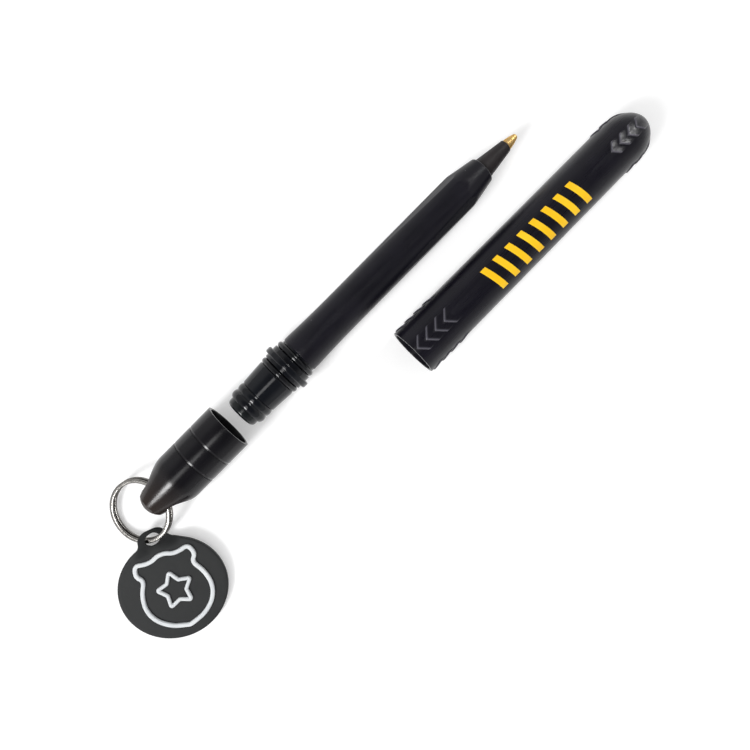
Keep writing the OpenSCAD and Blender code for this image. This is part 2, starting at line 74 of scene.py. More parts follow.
class Body(Enum):
    """The moving bodies of the frame."""

    PEN = "pen"
    BALL = "ball"
    CAP = "cap"
    TAIL_CAP = "tail_cap"
    RING = "ring"
    TAG = "tag"


class Lay(Enum):
    """Direction in which the fine marks of a finish run."""

    EVEN = (1.0, 1.0, 1.0)
    ALONG = (0.12, 1.0, 1.0)
    ROUND = (1.0, 0.06, 0.06)


# Outlines and meshes


def arc(middle: Point, radius: float, start: float, end: float, steps: int = 8) -> list[Point]:
    """Points on an arc.

    Args:
        middle: Centre of the arc.
        radius: Radius of the arc.
        start: First angle in degrees.
        end: Last angle in degrees.
        steps: Number of chords.

    Returns:
        The points, with both ends.
    """
    turns = [math.radians(start + (end - start) * i / steps) for i in range(steps + 1)]
    return [(middle[0] + radius * math.cos(a), middle[1] + radius * math.sin(a)) for a in turns]


def bend(a: Point, b: Point, c: Point, steps: int = 8) -> list[Point]:
    """Points on a curve that one control point bends, without its last point.

    Args:
        a: First end.
        b: Control point.
        c: Last end.
        steps: Number of chords.

    Returns:
        The points from a up to, but not with, c.
    """
    points = []
    for i in range(steps):
        t = i / steps
        weights = ((1 - t) ** 2, 2 * t * (1 - t), t * t)
        points.append(tuple(sum(w * p[k] for w, p in zip(weights, (a, b, c))) for k in (0, 1)))
    return points


def eased(corners: Sequence[Corner], steps: int = 5, closed: bool = True) -> list[Point]:
    """Rounds the corners of an outline.

    Args:
        corners: (station, radius, edge radius) of each corner.
        steps: Chords on each rounded corner.
        closed: Whether the last corner joins the first.

    Returns:
        The points of the rounded outline.
    """
    points: list[Point] = []
    count = len(corners)
    for i, (x, y, edge) in enumerate(corners):
        here = Vector((x, y))
        if edge <= 0 or (not closed and i in (0, count - 1)):
            points.append((x, y))
            continue
        before = Vector(corners[i - 1][:2]) - here
        after = Vector(corners[(i + 1) % count][:2]) - here
        half = before.angle(after) / 2
        reach = min(edge / math.tan(half), SIDE_SHARE * before.length, SIDE_SHARE * after.length)
        radius = reach * math.tan(half)
        middle = here + (before.normalized() + after.normalized()).normalized() * radius / math.sin(half)
        first = here + before.normalized() * reach - middle
        last = here + after.normalized() * reach - middle
        sweep = math.atan2(first.cross(last), first.dot(last))
        begin = math.atan2(first.y, first.x)
        points += arc(tuple(middle), radius, math.degrees(begin), math.degrees(begin + sweep), steps)
    return points


def densified(points: Sequence[Point], step: float) -> list[Point]:
    """Adds points to an open outline until none lie further apart than a step.

    Args:
        points: The outline.
        step: Largest distance along the first coordinate.

    Returns:
        The finer outline.
    """
    fine = [points[0]]
    for a, b in zip(points, points[1:]):
        parts = max(1, math.ceil(abs(b[0] - a[0]) / step))
        fine += [tuple(a[k] + (b[k] - a[k]) * i / parts for k in (0, 1)) for i in range(1, parts + 1)]
    return fine


def ramp(value: float, low: float, high: float) -> float:
    """Smooth step from 0 at low to 1 at high."""
    t = min(1.0, max(0.0, (value - low) / (high - low)))
    return t * t * (3 - 2 * t)


def inside(loop: Sequence[Point], x: float, y: float) -> bool:
    """Whether a point lies inside a closed loop.

    Args:
        loop: Corners of the loop.
        x: First coordinate of the point.
        y: Second coordinate.

    Returns:
        True if it lies inside.
    """
    found = False
    for i, (ax, ay) in enumerate(loop):
        bx, by = loop[i - 1]
        if (ay > y) != (by > y) and x < ax + (y - ay) * (bx - ax) / (by - ay):
            found = not found
    return found


def keep(name: str, mesh: Union[bmesh.types.BMesh, bpy.types.Mesh], crease: float = 32.0) -> bpy.types.Object:
    """Closes, cleans and shades a mesh and makes it an object at the origin.

    Args:
        name: Name of the piece.
        mesh: The mesh, in metres and in the row frame.
        crease: Angle in degrees above which an edge stays sharp.

    Returns:
        The object, linked to the scene.
    """
    work = mesh
    if isinstance(mesh, bpy.types.Mesh):
        work = bmesh.new()
        work.from_mesh(mesh)
    bmesh.ops.remove_doubles(work, verts=work.verts, dist=WELD_M)
    bmesh.ops.dissolve_degenerate(work, edges=work.edges, dist=SLIVER_M)
    bmesh.ops.recalc_face_normals(work, faces=work.faces)
    data = bpy.data.meshes.new(name)
    work.to_mesh(data)
    work.free()
    data.shade_smooth()
    data.set_sharp_from_angle(angle=math.radians(crease))
    piece = bpy.data.objects.new(name, data)
    bpy.context.scene.collection.objects.link(piece)
    return piece


def bridge(work: bmesh.types.BMesh, a: list, b: list) -> None:
    """Closes the strip between two rings of vertices.

    Args:
        work: The mesh that holds them.
        a: One ring, or a single pole.
        b: The other ring, or a single pole.
    """
    count = max(len(a), len(b))
    for k in range(count):
        n = (k + 1) % count
        corners = [a[k % len(a)], a[n % len(a)], b[n % len(b)], b[k % len(b)]]
        ring = [v for i, v in enumerate(corners) if v is not corners[i - 1]]
        if len(ring) > 2:
            work.faces.new(ring)


def lathe(name: str, outline: Sequence[Point], place: Vector, segments: int = 144,
          heading: float = 1.0, trim: Optional[Trim] = None) -> bpy.types.Object:
    """Turns an outline about a line along X.

    Args:
        name: Name of the piece.
        outline: (station, radius) points in millimetres, closed or with both ends on the line.
        place: Point of station 0 on the line, in metres.
        segments: Faces round the line.
        heading: 1 if the stations run towards +X, -1 if towards -X.
        trim: Gives the radius at a station, a radius and an angle, where the piece isn't round.

    Returns:
        The turned piece.
    """
    work = bmesh.new()
    rings = []
    for station, radius in outline:
        x = place.x + heading * station * MM
        if radius < AXIS_R:
            rings.append([work.verts.new((x, place.y, place.z))])
            continue
        ring = []
        for k in range(segments):
            turn = 2 * math.pi * k / segments
            r = (trim(station, radius, turn) if trim else radius) * MM
            ring.append(work.verts.new((x, place.y + r * math.sin(turn), place.z + r * math.cos(turn))))
        rings.append(ring)
    for a, b in zip(rings, rings[1:]):
        bridge(work, a, b)
    if outline[0][1] > 0 and outline[-1][1] > 0:
        bridge(work, rings[-1], rings[0])
    return keep(name, work)


def close_pad(work: bmesh.types.BMesh, grid: Sequence[Sequence[Place]], floor: float,
              cut: bool = False) -> list[list[bmesh.types.BMVert]]:
    """Makes a grid of points the upper side of a pad with a flat base.

    Args:
        work: The mesh that takes the pad.
        grid: Rows of points whose rim lies on the base.
        floor: Height of the base.
        cut: Whether the corner cells are cut in two from the outer corner inwards.

    Returns:
        The rows of vertices of the upper side.
    """
    top = [[work.verts.new(p) for p in row] for row in grid]
    base = [[work.verts.new((p[0], p[1], floor)) for p in row] for row in grid]
    last_row, last_cell = len(grid) - 2, len(grid[0]) - 2
    corners = {(0, 0): 0, (0, last_cell): 1, (last_row, last_cell): 2, (last_row, 0): 3} if cut else {}
    for sheet in (top, base):
        for i, (a, b) in enumerate(zip(sheet, sheet[1:])):
            for j in range(last_cell + 1):
                cell = [a[j], a[j + 1], b[j + 1], b[j]]
                first = corners.get((i, j))
                if first is None:
                    work.faces.new(cell)
                    continue
                cell = cell[first:] + cell[:first]
                work.faces.new(cell[:3])
                work.faces.new((cell[0], cell[2], cell[3]))
    return top


# Nodes


def fill(tree: bpy.types.NodeTree, node: bpy.types.Node, values: dict) -> None:
    """Sets or links inputs of a node.

    Args:
        tree: The tree that holds the node.
        node: The node.
        values: What each input takes: a field or a socket to link, or a value to set.
    """
    for key, value in values.items():
        source = value.socket if isinstance(value, Field) else value
        if isinstance(source, bpy.types.NodeSocket):
            tree.links.new(source, node.inputs[key])
        else:
            node.inputs[key].default_value = source


def add_node(tree: bpy.types.NodeTree, kind: str, values: Optional[dict] = None,
             **settings: object) -> bpy.types.Node:
    """Adds a node to a tree.

    Args:
        tree: The tree.
        kind: Blender's name of the node type.
        values: What its inputs take: fields or sockets to link, or values to set.
        **settings: Properties of the node.

    Returns:
        The node.
    """
    node = tree.nodes.new(kind)
    for key, value in settings.items():
        setattr(node, key, value)
    fill(tree, node, values or {})
    return node


@dataclass(frozen=True)
class Field:
    """What a node tree works out at one socket. Sums and products of fields are Math nodes."""

    tree: bpy.types.NodeTree
    socket: bpy.types.NodeSocket

    def math(self, operation: str, *others: "Number") -> "Field":
        """The result of a Math node that takes this number first."""
        return worked_out(self.tree, operation, self, *others)

    def __add__(self, other: "Number") -> "Field":
        """The sum."""
        return self.math("ADD", other)

    def __sub__(self, other: "Number") -> "Field":
        """The difference."""
        return self.math("SUBTRACT", other)

    def __rsub__(self, other: float) -> "Field":
        """A plain number less this one."""
        return worked_out(self.tree, "SUBTRACT", other, self)

    def __mul__(self, other: "Number") -> "Field":
        """The product."""
        return self.math("MULTIPLY", other)

    def __truediv__(self, other: "Number") -> "Field":
        """The quotient."""
        return self.math("DIVIDE", other)


Number = Union[Field, bpy.types.NodeSocket, float]


def worked_out(tree: bpy.types.NodeTree, operation: str, *numbers: Number) -> Field:
    """The result of a Math node."""
    node = add_node(tree, "ShaderNodeMath", dict(enumerate(numbers)), operation=operation)
    return Field(tree, node.outputs[0])


class Tree:
    """A Geometry Nodes tree that is written node by node and baked to plain meshes."""

    def __init__(self, name: str, inputs: dict[str, str]) -> None:
        """Starts a tree.

        Args:
            name: Name of the tree.
            inputs: Kind of socket for each named input.
        """
        self.group = bpy.data.node_groups.new(name, "GeometryNodeTree")
        face = self.group.interface
        face.new_socket("Geometry", in_out="OUTPUT", socket_type="NodeSocketGeometry")
        self.keys: dict[str, str] = {}
        for label, kind in inputs.items():
            socket = face.new_socket(label, in_out="INPUT", socket_type="NodeSocket" + kind)
            self.keys[label] = socket.identifier
        self.entry = self.group.nodes.new("NodeGroupInput")

    def given(self, label: str) -> Field:
        """What a named input holds."""
        return Field(self.group, self.entry.outputs[label])

    def add(self, kind: str, values: Optional[dict] = None, **settings: object) -> Field:
        """Adds a node, as add_node does, and gives its first output."""
        return Field(self.group, add_node(self.group, kind, values, **settings).outputs[0])

    def vector(self, x: Number, y: Number, z: Number) -> Field:
        """Three numbers as one vector."""
        return self.add("ShaderNodeCombineXYZ", {"X": x, "Y": y, "Z": z})

    def points(self, count: Field) -> Field:
        """A row of loose points, all at the origin until they are placed."""
        return self.add("GeometryNodeMeshLine", {"Count": count, "Offset": (0.0, 0.0, 0.0)})

    def softened(self, curve: Field, radius: Field, steps: int) -> Field:
        """A curve with rounded corners."""
        return self.add("GeometryNodeFilletCurve", {
            "Curve": curve, "Radius": radius, "Count": steps, "Limit Radius": True}, mode="POLY")

    def swept(self, path: Field, section: Field, caps: bool) -> Field:
        """A section drawn along a path, with its width level.

        Args:
            path: The path.
            section: The closed section.
            caps: Whether the ends are closed.

        Returns:
            The mesh.
        """
        level = self.add("GeometryNodeSetCurveNormal", {"Curve": path}, mode="Z_UP")
        return self.add("GeometryNodeCurveToMesh", {
            "Curve": level, "Profile Curve": section, "Fill Caps": caps})

    def close(self, geometry: Field) -> None:
        """Ends the tree in Realize Instances and Set Material.

        Args:
            geometry: What the tree has made.
        """
        real = self.add("GeometryNodeRealizeInstances", {"Geometry": geometry})
        dressed = self.add("GeometryNodeSetMaterial", {
            "Geometry": real, "Material": self.given("Material")})
        add_node(self.group, "NodeGroupOutput", {0: dressed})

    def bake(self, name: str, values: dict, seed: Optional[bpy.types.Mesh] = None) -> bpy.types.Mesh:
        """Runs the tree once and keeps what it makes.

        Args:
            name: Name of the mesh.
            values: Value of each named input.
            seed: Mesh that the tree starts from, or none for an empty one.

        Returns:
            The plain mesh.
        """
        holder = bpy.data.objects.new(name + "_seed", seed or bpy.data.meshes.new(name + "_seed"))
        bpy.context.scene.collection.objects.link(holder)
        modifier = holder.modifiers.new("tree", "NODES")
        modifier.node_group = self.group
        for label, value in values.items():
            modifier[self.keys[label]] = value
        graph = bpy.context.evaluated_depsgraph_get()
        mesh = bpy.data.meshes.new_from_object(holder.evaluated_get(graph), depsgraph=graph)
        mesh.name = name
        holder.modifiers.remove(modifier)
        bpy.data.objects.remove(holder)
        return mesh


def wrapped_rows(dome_end: float = 0.995) -> Tree:
    """Rows of one flat pad, repeated along the cap and wrapped onto its taper and dome.

    Args:
        dome_end: Share of the dome's length past which nothing is wrapped.

    Returns:
        The tree.
    """
    tree = Tree("wrapped_rows", {
        "Pad": "Object", "Rows": "Int", "First Turn": "Float", "Turn Step": "Float", "Count": "Int",
        "First": "Float", "Pitch": "Float", "Mouth Radius": "Float", "Dome Radius": "Float",
        "Straight": "Float", "Dome Length": "Float", "Material": "Material"})
    count, straight = tree.given("Count"), tree.given("Straight")
    mouth, dome, dome_len = tree.given("Mouth Radius"), tree.given("Dome Radius"), tree.given("Dome Length")

    index = tree.add("GeometryNodeInputIndex")
    row = ((index + 0.5) / count).math("FLOOR")
    along = tree.given("First") + (index - row * count) * tree.given("Pitch")
    turn = tree.given("First Turn") + row * tree.given("Turn Step")
    spots = tree.add("GeometryNodeSetPosition", {
        "Geometry": tree.points(tree.given("Rows") * count), "Position": tree.vector(along, 0.0, 0.0)})
    marked = tree.add("GeometryNodeStoreNamedAttribute", {
        "Geometry": spots, "Name": "row_turn", "Value": turn}, data_type="FLOAT", domain="POINT")
    pad = add_node(tree.group, "GeometryNodeObjectInfo", {"Object": tree.given("Pad")})
    pads = tree.add("GeometryNodeInstanceOnPoints", {
        "Points": marked, "Instance": pad.outputs["Geometry"]})
    flat = tree.add("GeometryNodeRealizeInstances", {"Geometry": pads})

    spot = add_node(tree.group, "ShaderNodeSeparateXYZ", {0: tree.add("GeometryNodeInputPosition")})
    x, y, height = (Field(tree.group, part) for part in spot.outputs)
    share = ((x - straight).math("MAXIMUM", 0.0) / dome_len).math("MINIMUM", dome_end)
    root = (1.0 - share * share).math("SQRT")
    radius = (mouth + (dome - mouth) * (x / straight).math("MINIMUM", 1.0)) * root
    fall = dome * share / (dome_len * root)
    rise = height / (fall * fall + 1.0).math("SQRT")
    mark = tree.add("GeometryNodeInputNamedAttribute", {"Name": "row_turn"}, data_type="FLOAT")
    angle = mark + (y / radius).math("ARCSINE")
    outward = radius + rise
    place = tree.vector(x + rise * fall, outward * angle.math("SINE"), outward * angle.math("COSINE"))
    wrapped = tree.add("GeometryNodeSetPosition", {"Geometry": flat, "Position": place})
    tree.close(tree.add("GeometryNodeRemoveAttribute", {"Geometry": wrapped, "Name": "row_turn"}))
    return tree


def coiled_wire(edge_steps: int = 5) -> Tree:
    """Flat wire of two turns that crosses from the lower turn to the upper one.

    Args:
        edge_steps: Chords on each rounded edge of the wire.

    Returns:
        The tree.
    """
    tree = Tree("coiled_wire", {
        "Radius": "Float", "Band": "Float", "Thick": "Float", "Step": "Float", "Crossover": "Float",
        "Edge": "Float", "Aside": "Vector", "Points": "Int", "Material": "Material"})
    count, radius, step = tree.given("Points"), tree.given("Radius"), tree.given("Step")
    half = tree.given("Crossover") * 0.5
    share = tree.add("GeometryNodeInputIndex") / (count - 1.0)
    angle = half + share * (4 * math.pi - tree.given("Crossover"))
    climb = tree.add("ShaderNodeMapRange", {
        "Value": angle, "From Min": 2 * math.pi - half, "From Max": half + 2 * math.pi,
        "To Min": step * -0.5, "To Max": step * 0.5}, interpolation_type="SMOOTHSTEP")
    lean = tree.add("ShaderNodeVectorMath", {
        0: tree.given("Aside"), "Scale": climb / step}, operation="SCALE")
    place = tree.vector(radius * angle.math("COSINE"), radius * angle.math("SINE"), climb)
    path = tree.add("GeometryNodeSetPosition", {
        "Geometry": tree.points(count), "Position": place, "Offset": lean})
    section = tree.add("GeometryNodeCurvePrimitiveQuadrilateral", {
        "Width": tree.given("Band"), "Height": tree.given("Thick")})
    soft = tree.softened(section, tree.given("Edge"), edge_steps)
    tree.close(tree.swept(tree.add("GeometryNodeMeshToCurve", {"Mesh": path}), soft, caps=True))
    return tree


def raised_line(corner_steps: int = 6, back_steps: int = 7) -> Tree:
    """Moulded line with a rounded back along a closed flat path.

    Args:
        corner_steps: Chords on each corner of the path.
        back_steps: Chords on each edge of the line's back.

    Returns:
        The tree.
    """
    tree = Tree("raised_line", {
        "Path": "Geometry", "Width": "Float", "Rise": "Float", "Sink": "Float", "Corner": "Float",
        "Edge": "Float", "Spacing": "Float", "Material": "Material"})
    rise, sink = tree.given("Rise"), tree.given("Sink")
    curve = tree.add("GeometryNodeMeshToCurve", {"Mesh": tree.given("Path")})
    soft = tree.softened(curve, tree.given("Corner"), corner_steps)
    even = tree.add("GeometryNodeResampleCurve", {
        "Curve": soft, "Length": tree.given("Spacing")}, mode="LENGTH")
    bar = tree.add("GeometryNodeCurvePrimitiveQuadrilateral", {
        "Width": tree.given("Width"), "Height": rise + sink})
    rounded = tree.softened(bar, tree.given("Edge"), back_steps)
    section = tree.add("GeometryNodeTransform", {
        "Geometry": rounded, "Translation": tree.vector(0.0, (sink - rise) * 0.5, 0.0)})
    tree.close(tree.swept(even, section, caps=False))
    return tree


def loop_mesh(name: str, points: Sequence[Point]) -> bpy.types.Mesh:
    """A closed loop of edges.

    Args:
        name: Name of the mesh.
        points: Flat points in millimetres that the loop runs through.

    Returns:
        The mesh, in metres.
    """
    mesh = bpy.data.meshes.new(name)
    count = len(points)
    mesh.from_pydata([(x * MM, y * MM, 0.0) for x, y in points],
                     [(i, (i + 1) % count) for i in range(count)], [])
    return mesh


# Finishes


class Shader:
    """Node builder for one procedural material."""

    SPAN: Point = (0.3, 0.7)
    MIX_A = 6
    MIX_B = 7
    MIX_RESULT = 2

    def __init__(self, name: str) -> None:
        """Starts a material that reads Object coordinates.

        Args:
            name: Name of the material.
        """
        self.material = bpy.data.materials.new(name)
        self.material.use_nodes = True
        self.tree = self.material.node_tree
        self.spot = self.node("ShaderNodeTexCoord").outputs["Object"]

    def node(self, kind: str, values: Optional[dict] = None, **settings: object) -> bpy.types.Node:
        """Adds a node, as add_node does."""
        return add_node(self.tree, kind, values, **settings)

    def noise(self, grain: float, lay: Lay = Lay.EVEN, detail: float = 3.0) -> bpy.types.NodeSocket:
        """Noise whose marks are about grain millimetres wide.

        Args:
            grain: Size of the marks in millimetres.
            lay: Direction in which they run.
            detail: Octaves of finer noise.

        Returns:
            A value about 0.5.
        """
        turned = self.node("ShaderNodeMapping", {"Vector": self.spot, "Scale": lay.value})
        noise = self.node("ShaderNodeTexNoise", {
            "Vector": turned.outputs[0], "Scale": 1 / (grain * MM), "Detail": detail})
        return noise.outputs["Fac"]

    def specks(self, spacing: float, size: float, share: float) -> Field:
        """Sparse small dots.

        Args:
            spacing: Size of the cells that may hold a dot, in millimetres.
            size: Radius of a dot in millimetres.
            share: Share of the cells that hold one.

        Returns:
            1 on a dot and 0 elsewhere.
        """
        cells = self.node("ShaderNodeTexVoronoi", {"Vector": self.spot, "Scale": 1 / (spacing * MM)})
        pick = self.node("ShaderNodeSeparateColor", {"Color": cells.outputs["Color"]})
        dot = worked_out(self.tree, "LESS_THAN", cells.outputs["Distance"], size / spacing)
        return dot * worked_out(self.tree, "LESS_THAN", pick.outputs[0], share)

    def between(self, value: bpy.types.NodeSocket, low: float, high: float,
                span: Point = SPAN) -> bpy.types.NodeSocket:
        """A value spread over a range.

        Args:
            value: The value to spread.
            low: Result at the start of the span.
            high: Result at its end.
            span: Part of the value that is spread.

        Returns:
            The spread value.
        """
        return self.node("ShaderNodeMapRange", {
            "Value": value, "From Min": span[0], "From Max": span[1],
            "To Min": low, "To Max": high}).outputs[0]

    def tones(self, value: bpy.types.NodeSocket, dark: Colour, light: Colour,
              span: Point = SPAN) -> bpy.types.NodeSocket:
        """A colour between two tones.

        Args:
            value: What drives the colour.
            dark: Colour at the start of the span.
            light: Colour at its end.
            span: Part of the value over which the colour changes.

        Returns:
            The colour.
        """
        band = self.node("ShaderNodeValToRGB", {"Fac": value})
        for stop, at, tone in zip(band.color_ramp.elements, span, (dark, light)):
            stop.position = at
            stop.color = (*tone, 1.0)
        return band.outputs[0]

    def mixed(self, share: Number, a: bpy.types.NodeSocket, b: Colour) -> bpy.types.NodeSocket:
        """Colour a where the share is 0 and colour b where it is 1."""
        values = {"Factor": share, self.MIX_A: a, self.MIX_B: (*b, 1.0)}
        return self.node("ShaderNodeMix", values, data_type="RGBA").outputs[self.MIX_RESULT]

    def bumps(self, *layers: tuple[bpy.types.NodeSocket, float, float]) -> bpy.types.NodeSocket:
        """Bump layers one on another.

        Args:
            *layers: Height, strength and depth in millimetres of each layer.

        Returns:
            The normal.
        """
        below: dict = {}
        for height, strength, depth in layers:
            bump = self.node("ShaderNodeBump", {
                "Height": height, "Strength": strength, "Distance": depth * MM, **below})
            below = {"Normal": bump.outputs[0]}
        return below["Normal"]

    def wear(self, values: dict) -> None:
        """Sets or links the surface's own inputs."""
        fill(self.tree, self.tree.nodes["Principled BSDF"], values)


@dataclass(frozen=True)
class Finish:
    """A named surface."""

    name: str

    @cache
    def material(self) -> bpy.types.Material:
        """The material, made once."""
        return self.make()

    def make(self) -> bpy.types.Material:
        """Builds the material."""
        raise NotImplementedError


@dataclass(frozen=True)
class MouldedPlastic(Finish):
    """Moulded plastic with uneven gloss, fine marks and dust, its grains in millimetres."""

    dark: Colour = (0.0028, 0.0024, 0.0056)
    light: Colour = (0.0056, 0.0049, 0.0096)
    cloud: float = 6.0
    smooth: float = 0.24
    dull: float = 0.36
    rub: float = 0.7
    specular: float = 0.32
    lay: Lay = Lay.ALONG
    ripple: float = 2.6
    ripple_strength: float = 0.35
    peel: float = 0.05
    scratch: float = 0.16
    scratch_strength: float = 0.12
    scratch_depth: float = 0.01
    dust: float = 0.12
    dust_cell: float = 3.4
    dust_r: float = 0.085
    dust_tone: Colour = (0.16, 0.16, 0.17)
    # Colour that the arrowhead ridges' vertex attribute mixes in: a painted highlight standing in for the
    # glint on their crests.
    rubbed: Optional[Colour] = None
    warm: Optional[Colour] = None
    warm_from: Point = (0.0, 1.0)

    def make(self) -> bpy.types.Material:
        """Builds the material.

        Returns:
            The material.
        """
        shader = Shader(self.name)
        rub = shader.noise(self.rub, self.lay, detail=6.0)
        dots = shader.specks(self.dust_cell, self.dust_r, self.dust)
        colour = shader.tones(shader.noise(self.cloud), self.dark, self.light)
        # Painted highlight: a lighter colour mixed in along the arrowhead ridges, by their vertex attribute.
        if self.rubbed is not None:
            ridge = shader.node("ShaderNodeAttribute", attribute_name="rubbed").outputs["Fac"]
            colour = shader.mixed(ridge, colour, self.rubbed)
        if self.warm is not None:
            x = shader.node("ShaderNodeSeparateXYZ", {0: shader.spot}).outputs[0]
            near = shader.between(x, 0.0, 1.0, self.warm_from)
            colour = shader.mixed(near, colour, self.warm)
        ripple = (shader.noise(self.ripple), self.ripple_strength, self.peel)
        scratch = (shader.noise(self.scratch, self.lay), self.scratch_strength, self.scratch_depth)
        shader.wear({
            "Base Color": shader.mixed(dots, colour, self.dust_tone),
            "Roughness": shader.between(rub, self.smooth, self.dull),
            "Specular IOR Level": self.specular,
            "Normal": shader.bumps(ripple, scratch)})
        return shader.material


@dataclass(frozen=True)
class TurnedMetal(Finish):
    """Bare metal with drawn or turned marks and a little tarnish, its grains in millimetres."""

    dark: Colour = (0.45, 0.44, 0.42)
    light: Colour = (0.74, 0.73, 0.7)
    tarnish: float = 1.6
    tarnish_span: Point = (0.25, 0.6)
    smooth: float = 0.18
    dull: float = 0.36
    lay: Lay = Lay.EVEN
    grain: float = 0.25
    marks: float = 0.15
    depth: float = 0.01
    rim_tone: Colour = (1.0, 1.0, 1.0)

    def make(self) -> bpy.types.Material:
        """Builds the material.

        Returns:
            The material.
        """
        shader = Shader(self.name)
        marks = shader.noise(self.grain, self.lay, detail=4.0)
        tarnish = shader.noise(self.tarnish)
        shader.wear({
            "Base Color": shader.tones(tarnish, self.dark, self.light, self.tarnish_span),
            "Metallic": 1.0,
            "Specular Tint": (*self.rim_tone, 1.0),
            "Roughness": shader.between(marks, self.smooth, self.dull),
            "Normal": shader.bumps((marks, self.marks, self.depth))})
        return shader.material


@dataclass(frozen=True)
class SoftRubber(Finish):
    """Soft moulded rubber with a fine even grain, its grains in millimetres."""

    dark: Colour = (0.017, 0.0178, 0.0184)
    light: Colour = (0.027, 0.028, 0.0284)
    cloud: float = 4.5
    smooth: float = 0.48
    dull: float = 0.66
    ripple: float = 3.2
    ripple_strength: float = 0.3
    ripple_depth: float = 0.06
    grain: float = 0.22
    grain_strength: float = 0.25
    depth: float = 0.02
    specular: float = 0.4
    lint: float = 0.05
    lint_cell: float = 2.2
    lint_r: float = 0.07
    lint_tone: Colour = (0.16, 0.16, 0.155)

    def make(self) -> bpy.types.Material:
        """Builds the material.

        Returns:
            The material.
        """
        shader = Shader(self.name)
        cloud = shader.noise(self.cloud, detail=5.0)
        dots = shader.specks(self.lint_cell, self.lint_r, self.lint)
        ripple = (shader.noise(self.ripple), self.ripple_strength, self.ripple_depth)
        grain = (shader.noise(self.grain, detail=4.0), self.grain_strength, self.depth)
        shader.wear({
            "Base Color": shader.mixed(dots, shader.tones(cloud, self.dark, self.light), self.lint_tone),
            "Roughness": shader.between(cloud, self.smooth, self.dull),
            "Specular IOR Level": self.specular,
            "Normal": shader.bumps(ripple, grain)})
        return shader.material


BARREL_BLACK = MouldedPlastic("barrel_gloss", smooth=0.32, dull=0.44, dust=0.3)
# The cap's arrowhead ridges get a lighter colour here as a painted highlight.
CAP_BLACK = MouldedPlastic("cap_gloss", rubbed=(0.085, 0.082, 0.1))
SPIGOT_BLACK = MouldedPlastic("spigot_gloss", dark=(0.0028, 0.0034, 0.0052), light=(0.0054, 0.0064, 0.0094),
                              smooth=0.08, dull=0.17, lay=Lay.EVEN)
PLUG_BLACK = MouldedPlastic("plug_satin", dark=(0.0045, 0.006, 0.0068), light=(0.009, 0.0115, 0.0125),
                            smooth=0.14, dull=0.26, lay=Lay.EVEN)
SEAL_BLACK = MouldedPlastic("seal_satin", dark=(0.0032, 0.0036, 0.0046), light=(0.0058, 0.0064, 0.008),
                            smooth=0.08, dull=0.17, lay=Lay.EVEN, dust=0.0)
HOLDER_BLACK = MouldedPlastic("holder_matt", dark=(0.012, 0.0092, 0.0098), light=(0.02, 0.0158, 0.0164),
                              smooth=0.46, dull=0.62, specular=0.3, dust=0.04)
TUBE_CLEAR = MouldedPlastic("tube_clear", dark=(0.5, 0.52, 0.55), light=(0.58, 0.6, 0.62),
                            smooth=0.22, dull=0.36, dust=0.0)
INK = MouldedPlastic("ink", dark=(0.002, 0.002, 0.004), light=(0.004, 0.004, 0.007), smooth=0.08,
                     dull=0.16, dust=0.0)
BRASS = TurnedMetal("brass", dark=(0.5, 0.3, 0.11), light=(0.74, 0.5, 0.2), smooth=0.38, dull=0.5,
                    lay=Lay.ROUND, grain=0.1, rim_tone=(0.5, 0.34, 0.16))
BALL_STEEL = TurnedMetal("ball_bright", dark=(0.2, 0.21, 0.19), light=(0.36, 0.37, 0.34), grain=0.08)
RING_STEEL = TurnedMetal("ring_plated", dark=(0.15, 0.144, 0.136), light=(0.28, 0.27, 0.257), smooth=0.16,
                         dull=0.25, grain=0.18, marks=0.05, rim_tone=(0.42, 0.41, 0.4))
TAG_RUBBER = SoftRubber("tag_soft", specular=0.18)
LINE_WHITE = SoftRubber("line_white", dark=(0.58, 0.6, 0.62), light=(0.69, 0.71, 0.72), smooth=0.4,
                        dull=0.55, grain=0.3, lint=0.08, lint_tone=(0.45, 0.45, 0.44))
PRINT_YELLOW = SoftRubber("print_yellow", dark=(0.93, 0.53, 0.006), light=(0.99, 0.6, 0.012), smooth=0.3,
                          dull=0.45, grain=0.25, depth=0.008, lint=0.04, lint_tone=(0.7, 0.42, 0.02))


# Pieces


def seat(shape: bpy.types.Object, body: Body, slot: str, *nodes: str) -> None:
    """Hangs a piece on its body and hides the solids that it stands for.

    Args:
        shape: The finished mesh.
        body: Body that it moves with.
        slot: The record's material slot; not used.
        *nodes: CAD nodes that it replaces.
    """
    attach(shape, body.value)
    if nodes:
        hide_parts(*nodes)
    LOG.info("%s on %s, %d faces", shape.name, body.value, len(shape.data.polygons))


def wear(name: str, finish: Finish) -> None:
    """Gives a piece its one finish.

    Args:
        name: The piece, or a CAD node that stays.
        finish: What it wears.
    """
    shape = frame["nodes"].get(name) or bpy.data.objects[name]
    shape.data.materials.clear()
    shape.data.materials.append(finish.material())
    LOG.info("%s wears %s", name, finish.name)


class SubAssembly(ABC):
    """A group of pieces that is built first and dressed afterwards."""

    @abstractmethod
    def build(self) -> None:
        """Builds the meshes and seats them on their bodies."""

    @abstractmethod
    def dress(self) -> None:
        """Gives each piece its finish."""


def axis_start(node: str, ahead: bool = True) -> Vector:
    """Where a round node's axis meets its low end, or its high end, in X.

    Args:
        node: Name of the CAD node.
        ahead: Whether the low end is wanted.

    Returns:
        The point in metres.
    """
    low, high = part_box(node)
    middle = (low + high) / 2
    return Vector((low.x if ahead else high.x, middle.y, middle.z))


def pen_start() -> Vector:
    """The end of the tail plug on the pen's axis, from which the pen's stations count."""
    return axis_start("tail_plug")


